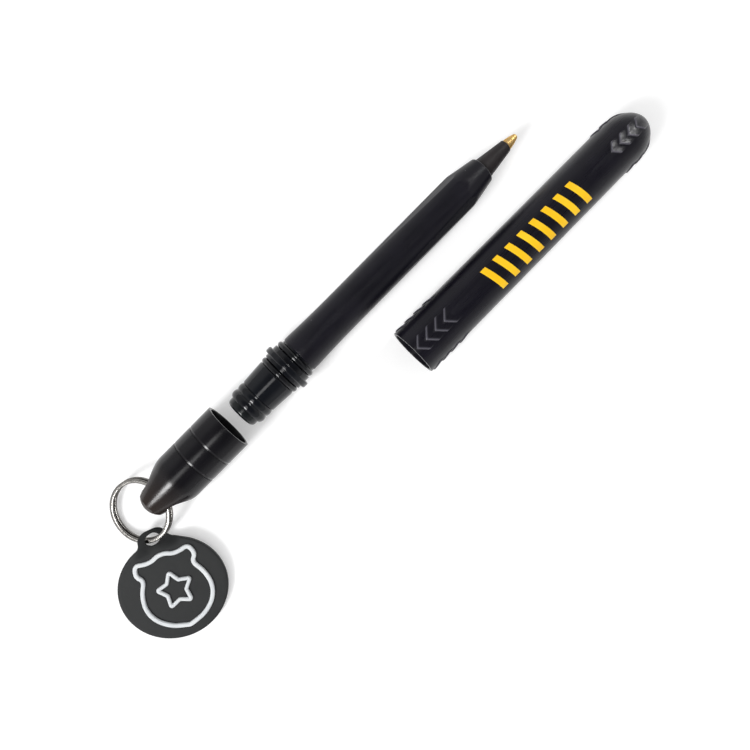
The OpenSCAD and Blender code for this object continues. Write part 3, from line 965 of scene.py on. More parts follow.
@dataclass
class Barrel(SubAssembly):
    """Barrel with a flared rear end, six finger flats and a conical nose, in millimetres."""

    rear: float = 18.93
    front: float = 77.4
    rear_r: float = 4.74
    rear_face: float = 0.6
    rear_edge: float = 0.14
    main_r: float = 4.47
    flare_from: float = 1.6
    flare: float = 13.0
    flare_steps: int = 20
    nose: float = 6.95
    nose_drop: float = 0.02
    nose_blend: float = 4.0
    nose_blend_len: float = 3.0
    lip: float = 0.2
    lip_r: float = 3.21
    lip_edge: float = 0.12
    mouth_r: float = 3.03
    mouth_edge: float = 0.06
    mouth_face: float = 0.3
    flats: int = 6
    flat_len: float = 24.0
    flat_depth: float = 0.27
    flat_blend: float = 0.008
    flat_reach: float = 0.24
    outside_from: float = 2.8
    socket_r: float = 3.22
    socket_len: float = 6.02
    bore_r: float = 1.8
    holder_r: float = 2.12
    holder_len: float = 8.0
    row_step: float = 0.4
    sides: int = 216

    def trim(self, station: float, radius: float, turn: float) -> float:
        """Cuts the finger flats into the round barrel, blended softly at their edges.

        Args:
            station: Place along the pen.
            radius: Radius of the round barrel there.
            turn: Angle round the pen in radians.

        Returns:
            The radius that is left.
        """
        step = 2 * math.pi / self.flats
        off = (turn + step / 2) % step - step / 2
        start = self.front - self.nose - self.flat_len
        plane = self.main_r - (station - start) * self.flat_depth / self.flat_len
        flat = plane / math.cos(off)
        if radius < self.outside_from or flat - radius > self.flat_reach:
            return radius
        soft = math.exp(-abs(radius - flat) / self.flat_blend)
        return min(radius, flat) - self.flat_blend * math.log(1 + soft)

    def outline(self) -> list[Point]:
        """The closed section of the barrel.

        Returns:
            The (station, radius) points.
        """
        nose_rear = self.front - self.nose
        flare = []
        for i in range(self.flare_steps + 1):
            share = i / self.flare_steps
            swell = (self.rear_r - self.main_r) * (1 - share) ** 2
            flare.append((self.rear + self.flare_from + self.flare * share, self.main_r + swell))
        back = eased([(self.rear, self.rear_r - self.rear_face, 0.0),
                      (self.rear, self.rear_r, self.rear_edge),
                      (self.rear + self.flare_from, self.rear_r, 0.0)], closed=False)[:-1]
        nose = eased([(nose_rear - self.nose_blend_len, self.main_r, 0.0),
                      (nose_rear, self.main_r - self.nose_drop, self.nose_blend),
                      (self.front - self.lip, self.lip_r, self.lip_edge),
                      (self.front, self.mouth_r, self.mouth_edge),
                      (self.front, self.holder_r + self.mouth_face, 0.0)], steps=8, closed=False)
        outside = densified(back + flare + nose, self.row_step)
        bore = [(self.front, self.holder_r), (self.front - self.holder_len, self.holder_r),
                (self.front - self.holder_len, self.bore_r), (self.rear + self.socket_len, self.bore_r),
                (self.rear + self.socket_len, self.socket_r), (self.rear, self.socket_r)]
        return outside + bore

    def build(self) -> None:
        """Builds the barrel and seats it on the pen."""
        shape = lathe("barrel_shell", self.outline(), pen_start(), self.sides, trim=self.trim)
        seat(shape, Body.PEN, "barrel_black", "barrel")

    def dress(self) -> None:
        """Gives the barrel its gloss."""
        wear("barrel_shell", BARREL_BLACK)


@dataclass
class TailPiece(SubAssembly):
    """Beaded spigot with its flange, end plug and two seal rings, in millimetres."""

    plug_r: float = 3.9
    plug_len: float = 1.85
    plug_round: float = 1.1
    shank_r: float = 2.6
    shank_len: float = 2.6
    floor_gap: float = 0.4
    bead_r: float = 4.7
    bead_pitch: float = 1.95
    bead_rise: float = 0.35
    bead_steps: int = 14
    tail_r: float = 4.62
    tail_step: float = 0.2
    neck_r: float = 4.96
    neck_len: float = 0.3
    neck_drop: float = 0.12
    rear_seat: float = 11.82
    seat_w: float = 1.58
    seat_r: float = 3.68
    collar_r: float = 5.18
    flange_from: float = 14.2
    flange_to: float = 15.75
    flange_r: float = 5.997
    flange_edge: float = 0.45
    front_seat: float = 16.85
    barrel_at: float = 18.93
    land_r: float = 4.59
    joint_r: float = 3.2
    joint_len: float = 6.0
    bore_r: float = 1.75
    seal_r: float = 5.2
    cord: float = 1.5
    cord_points: int = 36

    def bead(self, start: float) -> list[Point]:
        """One rounded bead.

        Args:
            start: Station where it begins.

        Returns:
            The (station, radius) points.
        """
        half = self.bead_pitch / 2
        radius = (half ** 2 + self.bead_rise ** 2) / 2 / self.bead_rise
        spread = math.degrees(math.asin(half / radius))
        middle = (start + half, self.bead_r - radius)
        return arc(middle, radius, 90 + spread, 90 - spread, self.bead_steps)

    def spigot(self) -> list[Point]:
        """The closed section of the beaded spigot.

        Returns:
            The (station, radius) points.
        """
        beads_end = self.plug_len + 2 * self.bead_pitch
        seat_end, front_end = self.rear_seat + self.seat_w, self.front_seat + self.seat_w
        beads = self.bead(self.plug_len) + self.bead(self.plug_len + self.bead_pitch)[1:]
        body = eased([
            (beads_end, self.bead_r - self.bead_rise, 0.0), (beads_end + self.tail_step, self.tail_r, 0.12),
            (self.rear_seat - self.neck_len, self.neck_r, 0.2),
            (self.rear_seat, self.neck_r - self.neck_drop, 0.05),
            (self.rear_seat, self.seat_r, 0.0), (seat_end, self.seat_r, 0.0),
            (seat_end, self.collar_r, 0.15), (self.flange_from, self.collar_r, 0.08),
            (self.flange_from, self.flange_r, self.flange_edge),
            (self.flange_to, self.flange_r, self.flange_edge),
            (self.flange_to, self.collar_r, 0.08), (self.front_seat, self.collar_r, 0.15),
            (self.front_seat, self.seat_r, 0.0), (front_end, self.seat_r, 0.0),
            (front_end, self.land_r, 0.1), (self.barrel_at, self.land_r, 0.05),
            (self.barrel_at, self.joint_r, 0.0)], steps=6, closed=False)
        inner = self.plug_len + self.shank_len + self.floor_gap
        joint_end = self.barrel_at + self.joint_len
        bore = [(joint_end, self.joint_r), (joint_end, self.bore_r), (inner, self.bore_r),
                (inner, self.shank_r + FIT), (self.plug_len, self.shank_r + FIT)]
        return beads + body[1:] + bore

    def plug(self) -> list[Point]:
        """The section of the end plug, with both ends on the axis.

        Returns:
            The (station, radius) points.
        """
        end = self.plug_len + self.shank_len
        return eased([(0.0, 0.0, 0.0), (0.0, self.plug_r, self.plug_round),
                      (self.plug_len, self.plug_r, 0.12), (self.plug_len, self.shank_r, 0.0),
                      (end, self.shank_r, 0.2), (end, 0.0, 0.0)], steps=9, closed=False)

    def seal(self, name: str, station: float, start: Vector) -> bpy.types.Object:
        """One seal ring.

        Args:
            name: Name of the piece.
            station: Where its seat begins.
            start: Point of station 0, in metres.

        Returns:
            The ring.
        """
        middle = (station + self.seat_w / 2, self.seal_r - self.cord / 2)
        last = 360 - 360 / self.cord_points
        return lathe(name, arc(middle, self.cord / 2, 0, last, self.cord_points - 1), start)

    def build(self) -> None:
        """Builds the spigot, its plug and its seals and seats them on the pen."""
        start = pen_start()
        seat(lathe("tail_spigot", self.spigot(), start), Body.PEN, "connector_black", "tail_connector")
        seat(lathe("tail_end_plug", self.plug(), start), Body.PEN, "plug_black", "tail_plug")
        seat(self.seal("seal_rear", self.rear_seat, start), Body.PEN, "seal_rubber", "rear_seal_ring")
        seat(self.seal("seal_front", self.front_seat, start), Body.PEN, "seal_rubber", "front_seal_ring")

    def dress(self) -> None:
        """Gives the spigot, the plug and the seals their finishes."""
        wear("tail_spigot", SPIGOT_BLACK)
        wear("tail_end_plug", PLUG_BLACK)
        wear("seal_rear", SEAL_BLACK)
        wear("seal_front", SEAL_BLACK)


@dataclass
class Refill(SubAssembly):
    """Tip holder, brass point, writing ball, ink tube and ink, in millimetres."""

    shank_from: float = 69.4
    barb_from: float = 64.4
    front: float = 77.4
    holder_end: float = 85.0
    tip: float = 88.4
    barb_r: float = 0.88
    shank_r: float = 2.1
    holder_r: float = 2.53
    holder_tip_r: float = 1.475
    channel_r: float = 0.3
    point_shank_r: float = 0.8
    point_shank: float = 4.0
    point_r: float = 1.25
    rim: float = 0.3
    groove: Point = (0.05, 0.1)
    shoulder: Point = (0.13, 0.01)
    belly: Point = (1.7, 0.24)
    neck: Point = (0.35, 0.12)
    lip_r: float = 0.57
    cone_from: float = 0.4
    ball_r: float = 0.5
    ball_proud: float = 0.3
    ball_steps: int = 24

    def holder(self) -> list[Point]:
        """The closed section of the tip holder.

        Returns:
            The (station, radius) points.
        """
        root = self.holder_end - self.point_shank - FIT
        hole_r = self.point_shank_r + FIT
        return eased([
            (self.barb_from, self.channel_r, 0.0), (self.barb_from, self.barb_r, 0.15),
            (self.shank_from, self.barb_r, 0.0), (self.shank_from, self.shank_r, 0.1),
            (self.front, self.shank_r, 0.0), (self.front, self.holder_r, 0.08),
            (self.front + self.cone_from, self.holder_r, 0.3), (self.holder_end, self.holder_tip_r, 0.12),
            (self.holder_end, hole_r, 0.0), (root, hole_r, 0.0), (root, self.channel_r, 0.0)])

    def point(self) -> list[Point]:
        """The closed section of the brass point, with its rim, shoulder and ball socket.

        Returns:
            The (station, radius) points.
        """
        root, lip = self.holder_end - self.point_shank, self.tip - self.ball_proud
        rim = self.holder_end + self.rim
        socket_r = self.ball_r + FIT
        middle = (self.tip - self.ball_r, 0.0)
        begin = math.degrees(math.acos((self.ball_r - self.ball_proud) / socket_r))
        end = 180 - math.degrees(math.asin(self.channel_r / socket_r))
        body = eased([
            (root, self.channel_r, 0.0), (root, self.point_shank_r, 0.1),
            (self.holder_end, self.point_shank_r, 0.0), (self.holder_end, self.point_r, 0.06),
            (rim, self.point_r, 0.06), (rim + self.groove[0], self.point_r - self.groove[1], 0.03),
            (rim + self.shoulder[0], self.point_r - self.shoulder[1], 0.05),
            (self.holder_end + self.belly[0], self.point_r - self.belly[1], 1.0),
            (lip - self.neck[0], self.lip_r + self.neck[1], 0.4), (lip, self.lip_r, 0.05),
            (lip, socket_r, 0.0)], closed=False)
        return body[:-1] + arc(middle, socket_r, begin, end, steps=12)

    def ball(self) -> list[Point]:
        """The section of the ball, with both ends on the axis."""
        points = arc((self.tip - self.ball_r, 0.0), self.ball_r, 180, 0, self.ball_steps)
        return [(points[0][0], 0.0), *points[1:-1], (points[-1][0], 0.0)]

    def build(self) -> None:
        """Builds the turned pieces; the tube and the ink inside the pen keep their CAD solids."""
        start = pen_start()
        seat(lathe("tip_holder", self.holder(), start), Body.PEN, "holder_black", "refill_tip_holder")
        seat(lathe("brass_tip", self.point(), start, segments=96), Body.PEN, "point_brass", "brass_point")
        seat(lathe("ball_tip", self.ball(), start, segments=48), Body.BALL, "ball_steel", "writing_ball")

    def dress(self) -> None:
        """Gives the refill's five pieces their finishes."""
        wear("tip_holder", HOLDER_BLACK)
        wear("brass_tip", BRASS)
        wear("ball_tip", BALL_STEEL)
        wear("ink_tube", TUBE_CLEAR)
        wear("ink_column", INK)


class Row(Enum):
    """Rows of raised arrowheads on the cap: (rows, first turn, turn step) in quarter turns."""

    ALL_ROUND = (4, 0, 1)
    TOP_AND_BOTTOM = (2, 0, 2)
    SIDES = (2, 1, 2)


@dataclass
class Cap(SubAssembly):
    """Long cap with a dome, rows of raised arrowheads and a printed band, in millimetres."""

    length: float = 73.6
    mouth_r: float = 5.97
    dome_r: float = 5.62
    dome: float = 7.65
    dome_steps: int = 36
    end_wall: float = 0.7
    land_r: float = 5.26
    land: float = 5.0
    land_slope: float = 0.3
    bore_r: float = 4.98
    spread: float = 2.25
    dome_share: float = 0.82
    pad_share: float = 0.86
    rise: float = 0.235
    sink: float = 0.15
    ridge: tuple[Point, ...] = ((0.0, 0.0), (0.1, 0.3), (0.22, 0.75), (0.32, 0.97), (0.42, 1.0), (0.55, 0.93))
    # Share of the painted highlight colour at the ridge's steps, from its foot over the crest onto the head
    # of the slope.
    rub: tuple[float, ...] = (0.25, 0.8, 1.0, 1.0, 0.6, 0.15)
    slope_steps: int = 8
    slope_curve: float = 1.4
    tip_round: float = 0.15
    end_fade: float = 0.4
    half_columns: int = 20
    mouth_first: float = 0.5
    mouth_pitch: float = 2.76
    mouth_count: int = 4
    dome_first: float = 13.0
    dome_pitch: float = 2.56
    dome_count: int = 4
    side_first: float = 11.3
    side_count: int = 3
    print_from: float = 23.6
    print_pitch: float = 3.75
    print_count: int = 8
    print_w: float = 2.1
    print_h: float = 6.8
    print_slant: float = 1.5
    print_rise: float = 0.02
    print_sink: float = 0.05
    print_turn: float = 13.0
    print_rows: int = 24
    print_columns: int = 6

    def outline(self) -> list[Point]:
        """The section of the shell, from its outer tip round the mouth to its inner tip.

        Returns:
            The (station, radius) points.
        """
        straight = self.length - self.dome

        def quarter(radius: float, long: float) -> list[Point]:
            """Quarter of an ellipse that closes on the axis.

            Args:
                radius: Radius at its mouth.
                long: Length along the axis.

            Returns:
                The (station, radius) points.
            """
            turns = [math.radians(90 * i / self.dome_steps) for i in range(self.dome_steps)]
            points = [(straight + long * math.sin(a), radius * math.cos(a)) for a in turns]
            return points + [(straight + long, 0.0)]

        rim = eased([(straight, self.dome_r, 0.0), (0.0, self.mouth_r, 0.09), (0.0, self.land_r, 0.09),
                     (self.land, self.land_r, 0.05), (self.land + self.land_slope, self.bore_r, 0.2),
                     (straight, self.bore_r, 0.0)], closed=False)
        outer, inner = quarter(self.dome_r, self.dome), quarter(self.bore_r, self.dome - self.end_wall)
        return outer[:0:-1] + rim + inner[1:]

    def arrow(self, spread: float, length: float) -> bpy.types.Object:
        """One flat arrowhead: a ridge that faces the mouth and a slope that falls towards the dome.

        Args:
            spread: Half of its width.
            length: Length of ridge and slope along the cap.

        Returns:
            The closed pad, before it is repeated and wrapped.
        """
        last, high = self.ridge[-1]
        left = [1 - i / self.slope_steps for i in range(1, self.slope_steps + 1)]
        slope = [(length - (length - last) * share, high * share ** self.slope_curve) for share in left]
        steps = [(0.0, 0.0), *self.ridge, *slope, (length, 0.0)]
        work = bmesh.new()
        # Vertex attribute that carries the painted highlight along the ridge's crest.
        rubbed = work.verts.layers.float.new("rubbed")
        grid = []
        for i in range(2 * self.half_columns + 1):
            y = spread * (i / self.half_columns - 1)
            near = math.hypot(y, self.tip_round) - self.tip_round
            fade = 1 - ramp(abs(y), spread - self.end_fade, spread)
            row = []
            for j, (along, share) in enumerate(steps):
                on_top = 0 < j < len(steps) - 1
                z = share * self.rise * fade - (1 - fade) * self.sink if on_top else -self.sink
                row.append(((near + along) * MM, y * MM, z * MM))
            grid.append(row)
        # The ridge's vertices take their share of the painted highlight, which the cap's material mixes in as
        # a lighter colour.
        for row in close_pad(work, grid, -self.sink * MM):
            for vert, share in zip(row[2:], self.rub):
                vert[rubbed] = share
        return keep("arrow_pad", work)

    def bar(self) -> bpy.types.Object:
        """One flat slanted bar of the print.

        Returns:
            The thin closed pad, before it is repeated and wrapped.
        """
        work = bmesh.new()
        grid = []
        for i in range(self.print_rows + 1):
            y = self.print_h * (i / self.print_rows - 0.5)
            lean = -self.print_slant * y / self.print_h
            row = []
            for j in range(self.print_columns + 1):
                x = lean + self.print_w * (j / self.print_columns - 0.5)
                rim = i in (0, self.print_rows) or j in (0, self.print_columns)
                row.append((x * MM, y * MM, (-self.print_sink if rim else self.print_rise) * MM))
            grid.append(row)
        close_pad(work, grid, -self.print_sink * MM, cut=True)
        return keep("print_bar", work)

    def wrap(self, tree: Tree, pad: bpy.types.Object, finish: Finish, turns: tuple[int, float, float],
             first: float, pitch: float, count: int) -> bpy.types.Mesh:
        """Repeats a pad in rows and wraps them onto the cap.

        Args:
            tree: The wrapping tree.
            pad: The flat pad, which is used up.
            finish: What the rows wear.
            turns: Number of rows, and their first turn and turn step in quarter turns.
            first: Station of the first pad.
            pitch: Distance from pad to pad.
            count: Pads in a row.

        Returns:
            The rows in the row frame.
        """
        rows, turn, step = turns
        mesh = tree.bake(pad.name + "_rows", {
            "Pad": pad, "Rows": rows, "First Turn": turn * math.pi / 2, "Turn Step": step * math.pi / 2,
            "Count": count, "First": first * MM, "Pitch": pitch * MM, "Mouth Radius": self.mouth_r * MM,
            "Dome Radius": self.dome_r * MM, "Straight": (self.length - self.dome) * MM,
            "Dome Length": self.dome * MM, "Material": finish.material()})
        bpy.data.objects.remove(pad)
        mesh.transform(Matrix.Translation(axis_start("cap_shell")))
        return mesh

    def arrows(self, tree: Tree) -> bpy.types.Object:
        """All raised arrowheads as one mesh.

        Args:
            tree: The wrapping tree.

        Returns:
            The arrowheads.
        """
        far = self.dome_share * self.spread
        batches = [
            (Row.ALL_ROUND, self.spread, self.mouth_pitch, self.mouth_first, self.mouth_count),
            (Row.TOP_AND_BOTTOM, far, self.dome_pitch, self.length - self.dome_first, self.dome_count),
            (Row.SIDES, far, self.mouth_pitch, self.length - self.side_first, self.side_count)]
        work = bmesh.new()
        for row, spread, pitch, first, count in batches:
            pad = self.arrow(spread, self.pad_share * pitch)
            work.from_mesh(self.wrap(tree, pad, CAP_BLACK, row.value, first, pitch, count))
        return keep("cap_arrows", work)

    def bars(self, tree: Tree) -> bpy.types.Object:
        """The printed bars as one mesh.

        Args:
            tree: The wrapping tree.

        Returns:
            The bars.
        """
        turns = (1, -self.print_turn / 90, 0)
        mesh = self.wrap(tree, self.bar(), PRINT_YELLOW, turns, self.print_from, self.print_pitch,
                         self.print_count)
        return keep("cap_print", mesh)

    def build(self) -> None:
        """Builds the shell, its arrowheads and its print and seats them on the cap."""
        tree = wrapped_rows()
        shell = lathe("cap_tube", self.outline(), axis_start("cap_shell"), segments=160)
        seat(shell, Body.CAP, "cap_black", "cap_shell")
        seat(self.arrows(tree), Body.CAP, "cap_black")
        seat(self.bars(tree), Body.CAP, "cap_black")

    def dress(self) -> None:
        """Gives the cap its gloss and its print its colour."""
        wear("cap_tube", CAP_BLACK)
        wear("cap_arrows", CAP_BLACK)
        wear("cap_print", PRINT_YELLOW)


@dataclass
class TailCap(SubAssembly):
    """Bullet-shaped tail cap with two grooves and an eye, in millimetres from its mouth."""

    radius: float = 5.997
    straight: float = 15.5
    blend_r: float = 7.0
    taper: float = 18.6
    edge: float = 24.9
    edge_r: float = 3.2
    edge_round: Point = (0.3, 0.12)
    crown: float = 0.1
    bulge: float = 1.4
    socket_r: float = 5.26
    socket: float = 14.45
    grooves: tuple[float, ...] = (10.8, 5.8)
    groove: tuple[Corner, ...] = ((0.495, 0.0, 0.06), (0.45, -0.22, 0.05), (-0.09, 0.0, 0.08))
    eye_at: float = 21.8
    eye_r: float = 1.95
    eye_flare: float = 0.6
    eye_half: float = 3.8
    eye_reach: float = 7.5
    eye_open: float = 2.6
    warm_len: float = 11.0
    warm: Colour = (0.016, 0.0085, 0.0055)

    def outline(self) -> list[Point]:
        """The section, from the blunt end round the mouth to the socket's floor.

        Returns:
            The (station, radius) points.
        """
        bulge_r = (self.edge_r ** 2 + self.bulge ** 2) / 2 / self.bulge
        half = math.degrees(math.asin(self.edge_r / bulge_r))
        tip = self.edge + self.bulge
        end = [(tip, 0.0), *arc((tip - bulge_r, 0.0), bulge_r, 0, half, steps=14)[1:]]
        blend = (self.straight, self.radius - self.blend_r)
        shoulder = arc(blend, self.blend_r, 90 - self.taper, 90, steps=10)
        foot = (self.edge - self.edge_round[0], self.edge_r + self.edge_round[1])
        crest = ((foot[0] + shoulder[0][0]) / 2, (foot[1] + shoulder[0][1]) / 2 + 2 * self.crown)
        taper = bend(foot, crest, shoulder[0], steps=34)
        side: list[Corner] = [(self.straight, self.radius, 0.0)]
        for at in self.grooves:
            side += [(at + ahead, self.radius + out, edge) for ahead, out, edge in self.groove]
        side += [(0.0, self.radius, 0.08), (0.0, self.socket_r, 0.1), (self.socket, self.socket_r, 0.2),
                 (self.socket, 0.0, 0.0)]
        corner = eased([(*end[-2], 0.0), (*end[-1], 0.25), (*taper[0], 0.0)], steps=4, closed=False)
        return end[:-2] + corner[:-1] + taper + shoulder[1:-1] + eased(side, steps=4, closed=False)

    def cutter(self, start: Vector) -> bpy.types.Object:
        """The eye's hole with its flared ends, along Y.

        Args:
            start: Middle of the tail cap's mouth, in metres.

        Returns:
            The solid to cut away.
        """
        wide = self.eye_r + 2 * self.eye_flare
        half = eased([(0.0, self.eye_r, 0.0), (self.eye_half - self.eye_flare, self.eye_r, 0.6),
                      (self.eye_half + self.eye_flare, wide, 0.0),
                      (self.eye_reach, wide + self.eye_open, 0.0), (self.eye_reach, 0.0, 0.0)],
                     steps=8, closed=False)
        whole = [(-x, r) for x, r in reversed(half)] + half[1:]
        hole = lathe("eye_cutter", whole, Vector((0.0, 0.0, 0.0)), segments=72)
        middle = start + Vector((-self.eye_at * MM, 0.0, 0.0))
        hole.data.transform(Matrix.Translation(middle) @ Matrix.Rotation(math.pi / 2, 4, "Z"))
        return hole

    def build(self) -> None:
        """Builds the tail cap, cuts its eye and seats it."""
        start = axis_start("tail_cap_shell", ahead=False)
        blank = lathe("tail_cap_blank", self.outline(), start, segments=176, heading=-1.0)
        hole = self.cutter(start)
        cut = blank.modifiers.new("eye", "BOOLEAN")
        cut.object = hole
        cut.operation = "DIFFERENCE"
        cut.solver = "EXACT"
        graph = bpy.context.evaluated_depsgraph_get()
        mesh = bpy.data.meshes.new_from_object(blank.evaluated_get(graph), depsgraph=graph)
        bpy.data.objects.remove(blank)
        bpy.data.objects.remove(hole)
        shape = keep("tail_bullet", mesh, crease=28.0)
        seat(shape, Body.TAIL_CAP, "tail_cap_black", "tail_cap_shell")

    def dress(self) -> None:
        """Gives the tail cap a gloss that turns brown towards its blunt end."""
        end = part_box("tail_cap_shell")[0].x
        gloss = MouldedPlastic("tail_cap_gloss", dark=(0.0032, 0.0029, 0.0045), light=(0.006, 0.0054, 0.0075),
                               smooth=0.17, dull=0.28, dust=0.04, warm=self.warm,
                               warm_from=(end + self.warm_len * MM, end))
        wear("tail_bullet", gloss)


@dataclass
class SplitRing(SubAssembly):
    """Split ring of two flat turns, in millimetres and degrees."""

    middle_r: float = 7.3
    band: float = 1.0
    aside: float = 0.4
    turn: float = 0.62
    gap: float = 0.1
    crossover: float = 40.0
    slope: float = 21.3
    yaw: float = 8.0
    edge: float = 0.24
    points: int = 260

    def build(self) -> None:
        """Builds the coiled wire and seats it on the ring."""
        mesh = coiled_wire().bake("ring_wire", {
            "Radius": self.middle_r * MM, "Band": self.band * MM, "Thick": self.turn * MM,
            "Step": (self.turn + self.gap) * MM, "Crossover": math.radians(self.crossover),
            "Edge": self.edge * MM, "Aside": (-self.aside * MM, 0.0, 0.0), "Points": self.points,
            "Material": RING_STEEL.material()})
        low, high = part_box("split_ring")
        mesh.transform(Matrix.Translation((low + high) / 2)
                       @ Matrix.Rotation(math.radians(-self.yaw), 4, "Z")
                       @ Matrix.Rotation(math.radians(-self.slope), 4, "Y"))
        seat(keep("key_ring", mesh), Body.RING, "ring_steel", "split_ring")

    def dress(self) -> None:
        """Gives the ring its dull plating."""
        wear("key_ring", RING_STEEL)


# Right half of the shield as shares of its half width and half height: ends of its bends and what pulls them
SHIELD_STOPS: tuple[Point, ...] = (
    (0.0, 1.0), (0.22, 0.955), (0.69, 0.95), (0.86, 0.83), (0.82, 0.61), (0.81, 0.4), (1.0, -0.13),
    (0.82, -0.605), (0.39, -0.895), (0.0, -1.0))
SHIELD_PULLS: tuple[Point, ...] = (
    (0.13, 1.0), (0.4, 0.88), (0.82, 0.97), (0.91, 0.69), (0.74, 0.53), (0.98, 0.16), (1.0, -0.4),
    (0.65, -0.79), (0.18, -0.96))


@dataclass
class Tag(SubAssembly):
    """Soft oval tag with a twisted lug and raised lines, in millimetres and degrees."""

    width: float = 25.6
    height: float = 23.6
    thick: float = 1.5
    edge: float = 0.3
    reach: float = 0.25
    edge_steps: int = 6
    hole_r: float = 1.45
    hole_shift: float = 0.15
    hole_edge: float = 0.12
    hole_bevel: float = 0.035
    hole_points: int = 64
    lug_r: float = 2.42
    lug_span: float = 0.82
    lug_thick: float = 1.0
    shoulder: float = 1.6
    oval_steps: int = 180
    twist: float = 20.0
    twist_from: Point = (-3.2, -0.2)
    twist_sides: Point = (3.6, 7.0)
    thin_from: Point = (-2.4, -0.6)
    fall: float = 20.09
    turn: float = 5.0
    yaw: float = -23.28
    pitch: float = 4.61
    drop: float = 0.5
    aside: float = 0.6
    shield_w: float = 8.1
    shield_h: float = 8.8
    shield_line: float = 1.0
    shield_corner: float = 0.35
    star_points: int = 5
    star_r: float = 4.3
    star_waist: float = 2.4
    star_line: float = 0.85
    star_corner: float = 0.3
    rise: float = 0.6
    sink: float = 0.3
    line_edge: float = 0.32
    spacing: float = 0.08
    grid: float = 0.5
    grid_row: float = 0.87
    grid_top: float = 4.0
    grid_span: float = 1.2
    rim_clear: float = 0.3
    hole_clear: float = 0.85
    hole_clear_up: float = 0.02
    weld_m: float = 2e-6
    cdt_near: float = 1e-5

    @property
    def middle(self) -> float:
        """Distance from the hole to the middle of the oval."""
        return self.height / 2 + self.reach

    def place(self) -> Matrix:
        """Where the tag lies on the ring.

        Returns:
            The matrix from the tag's own frame, about its hole, to the row frame.
        """
        joint = next(j for j in frame["joints"] if j["name"] == "tag_swing")
        return (Matrix.Translation(Vector(joint["pos_m"])) @ Matrix.Rotation(math.radians(self.yaw), 4, "Z")
                @ Matrix.Rotation(math.radians(self.pitch), 4, "X"))

    def outline(self) -> list[Point]:
        """The tag's outline: an oval that runs through two concave shoulders into the lug.

        Returns:
            The points of the closed outline.
        """
        crown_r = (self.width / 2) ** 2 / (self.height / 2)
        crown = Vector((0.0, -self.reach - crown_r))
        lug = Vector((self.lug_span, 0.0))
        near, far = self.lug_r + self.shoulder, crown_r + self.shoulder
        apart = (crown - lug).length
        along = (near ** 2 - far ** 2 + apart ** 2) / (2 * apart)
        toward = (crown - lug) / apart
        side = math.sqrt(near ** 2 - along ** 2)
        centre = lug + toward * along + Vector((-toward.y, toward.x)) * side
        on_crown = crown + (centre - crown) * crown_r / far
        to_crown, to_lug = on_crown - centre, (lug - centre) * self.shoulder / near
        first = math.degrees(math.atan2(to_crown.y, to_crown.x)) % 360
        last = math.degrees(math.atan2(to_lug.y, to_lug.x)) % 360
        fillet = arc(tuple(centre), self.shoulder, first, last, steps=12)
        start = math.degrees(math.atan2(fillet[-1][1], fillet[-1][0] - self.lug_span))
        right = fillet + arc(tuple(lug), self.lug_r, start, 90, steps=18)[1:]
        left = [(-x, y) for x, y in reversed(right)]
        begin = math.degrees(math.atan2((on_crown.y + self.middle) / self.height, on_crown.x / self.width))
        oval = []
        for i in range(1, self.oval_steps):
            a = math.radians(180 - begin + (180 + 2 * begin) * i / self.oval_steps)
            oval.append((self.width / 2 * math.cos(a), self.height / 2 * math.sin(a) - self.middle))
        return right + left[1:] + oval

    def lift(self, x: float, y: float) -> float:
        """Height of the soft tag's middle where the ring twists its lug."""
        bent = ramp(y, *self.twist_from) * (1 - ramp(abs(x), *self.twist_sides))
        return -x * math.tan(math.radians(self.twist)) * bent

    def half_thick(self, y: float) -> float:
        """Half of the tag's thickness, which thins out into the lug."""
        return (self.thick - (self.thick - self.lug_thick) * ramp(y, *self.thin_from)) / 2

    def inset(self, points: Sequence[Point], depth: float) -> list[Point]:
        """Moves a closed outline inwards.

        Args:
            points: The outline.
            depth: How far it moves.

        Returns:
            As many points, moved.
        """
        moved = []
        for i, p in enumerate(points):
            a, b = points[i - 1], points[(i + 1) % len(points)]
            run = Vector((b[0] - a[0], b[1] - a[1])).normalized()
            moved.append((p[0] - run.y * depth, p[1] + run.x * depth))
        return moved

    def hole(self, level: float, grow: float) -> list[Point]:
        """The slanting hole's rim.

        Args:
            level: From -1, the underside, to 1, the top.
            grow: How much wider the rim is than the hole.

        Returns:
            The points of the rim.
        """
        lean = math.radians(self.twist + self.fall)
        squeeze = math.cos(math.radians(self.twist))
        long = self.hole_r / math.sin(lean) * squeeze + grow
        shift = level * self.lug_thick / 2 / math.tan(lean) * squeeze
        aside = math.radians(-self.turn)
        rim = []
        for i in range(self.hole_points):
            a = 2 * math.pi * i / self.hole_points
            x, y = shift + long * math.cos(a), (self.hole_r + grow) * math.sin(a)
            rim.append((x * math.cos(aside) - y * math.sin(aside),
                        self.hole_shift + x * math.sin(aside) + y * math.cos(aside)))
        return rim

    def sheet(self, rim: Sequence[Point], hole: Sequence[Point]) -> tuple[list[Point], list[list[int]]]:
        """Triangles that fill a rim round a hole.

        Args:
            rim: Outer loop.
            hole: Inner loop.

        Returns:
            The points and the triangles.
        """
        spots = [Vector(p) for p in rim] + [Vector(p) for p in hole]
        edges = [(i, (i + 1) % len(rim)) for i in range(len(rim))]
        edges += [(len(rim) + i, len(rim) + (i + 1) % len(hole)) for i in range(len(hole))]
        clear = self.inset(rim, self.rim_clear)
        rows = math.ceil(self.grid_span * self.width / self.grid)
        for j in range(rows):
            for i in range(rows):
                x = (i - rows / 2 + 0.5 * (j % 2)) * self.grid
                y = self.grid_top - j * self.grid * self.grid_row
                shrunk = (x * self.hole_clear, y * self.hole_clear + self.hole_clear_up)
                if inside(clear, x, y) and not inside(hole, *shrunk):
                    spots.append(Vector((x, y)))
        rim_face = list(range(len(rim)))
        points, _, faces, _, _, _ = delaunay_2d_cdt(spots, edges, [rim_face], FILL_INSIDE, self.cdt_near)
        flat = [tuple(p) for p in points]
        kept = []
        for face in faces:
            x, y = (sum(flat[i][k] for i in face) / len(face) for k in (0, 1))
            if not inside(hole, x, y):
                kept.append(list(face))
        return flat, kept

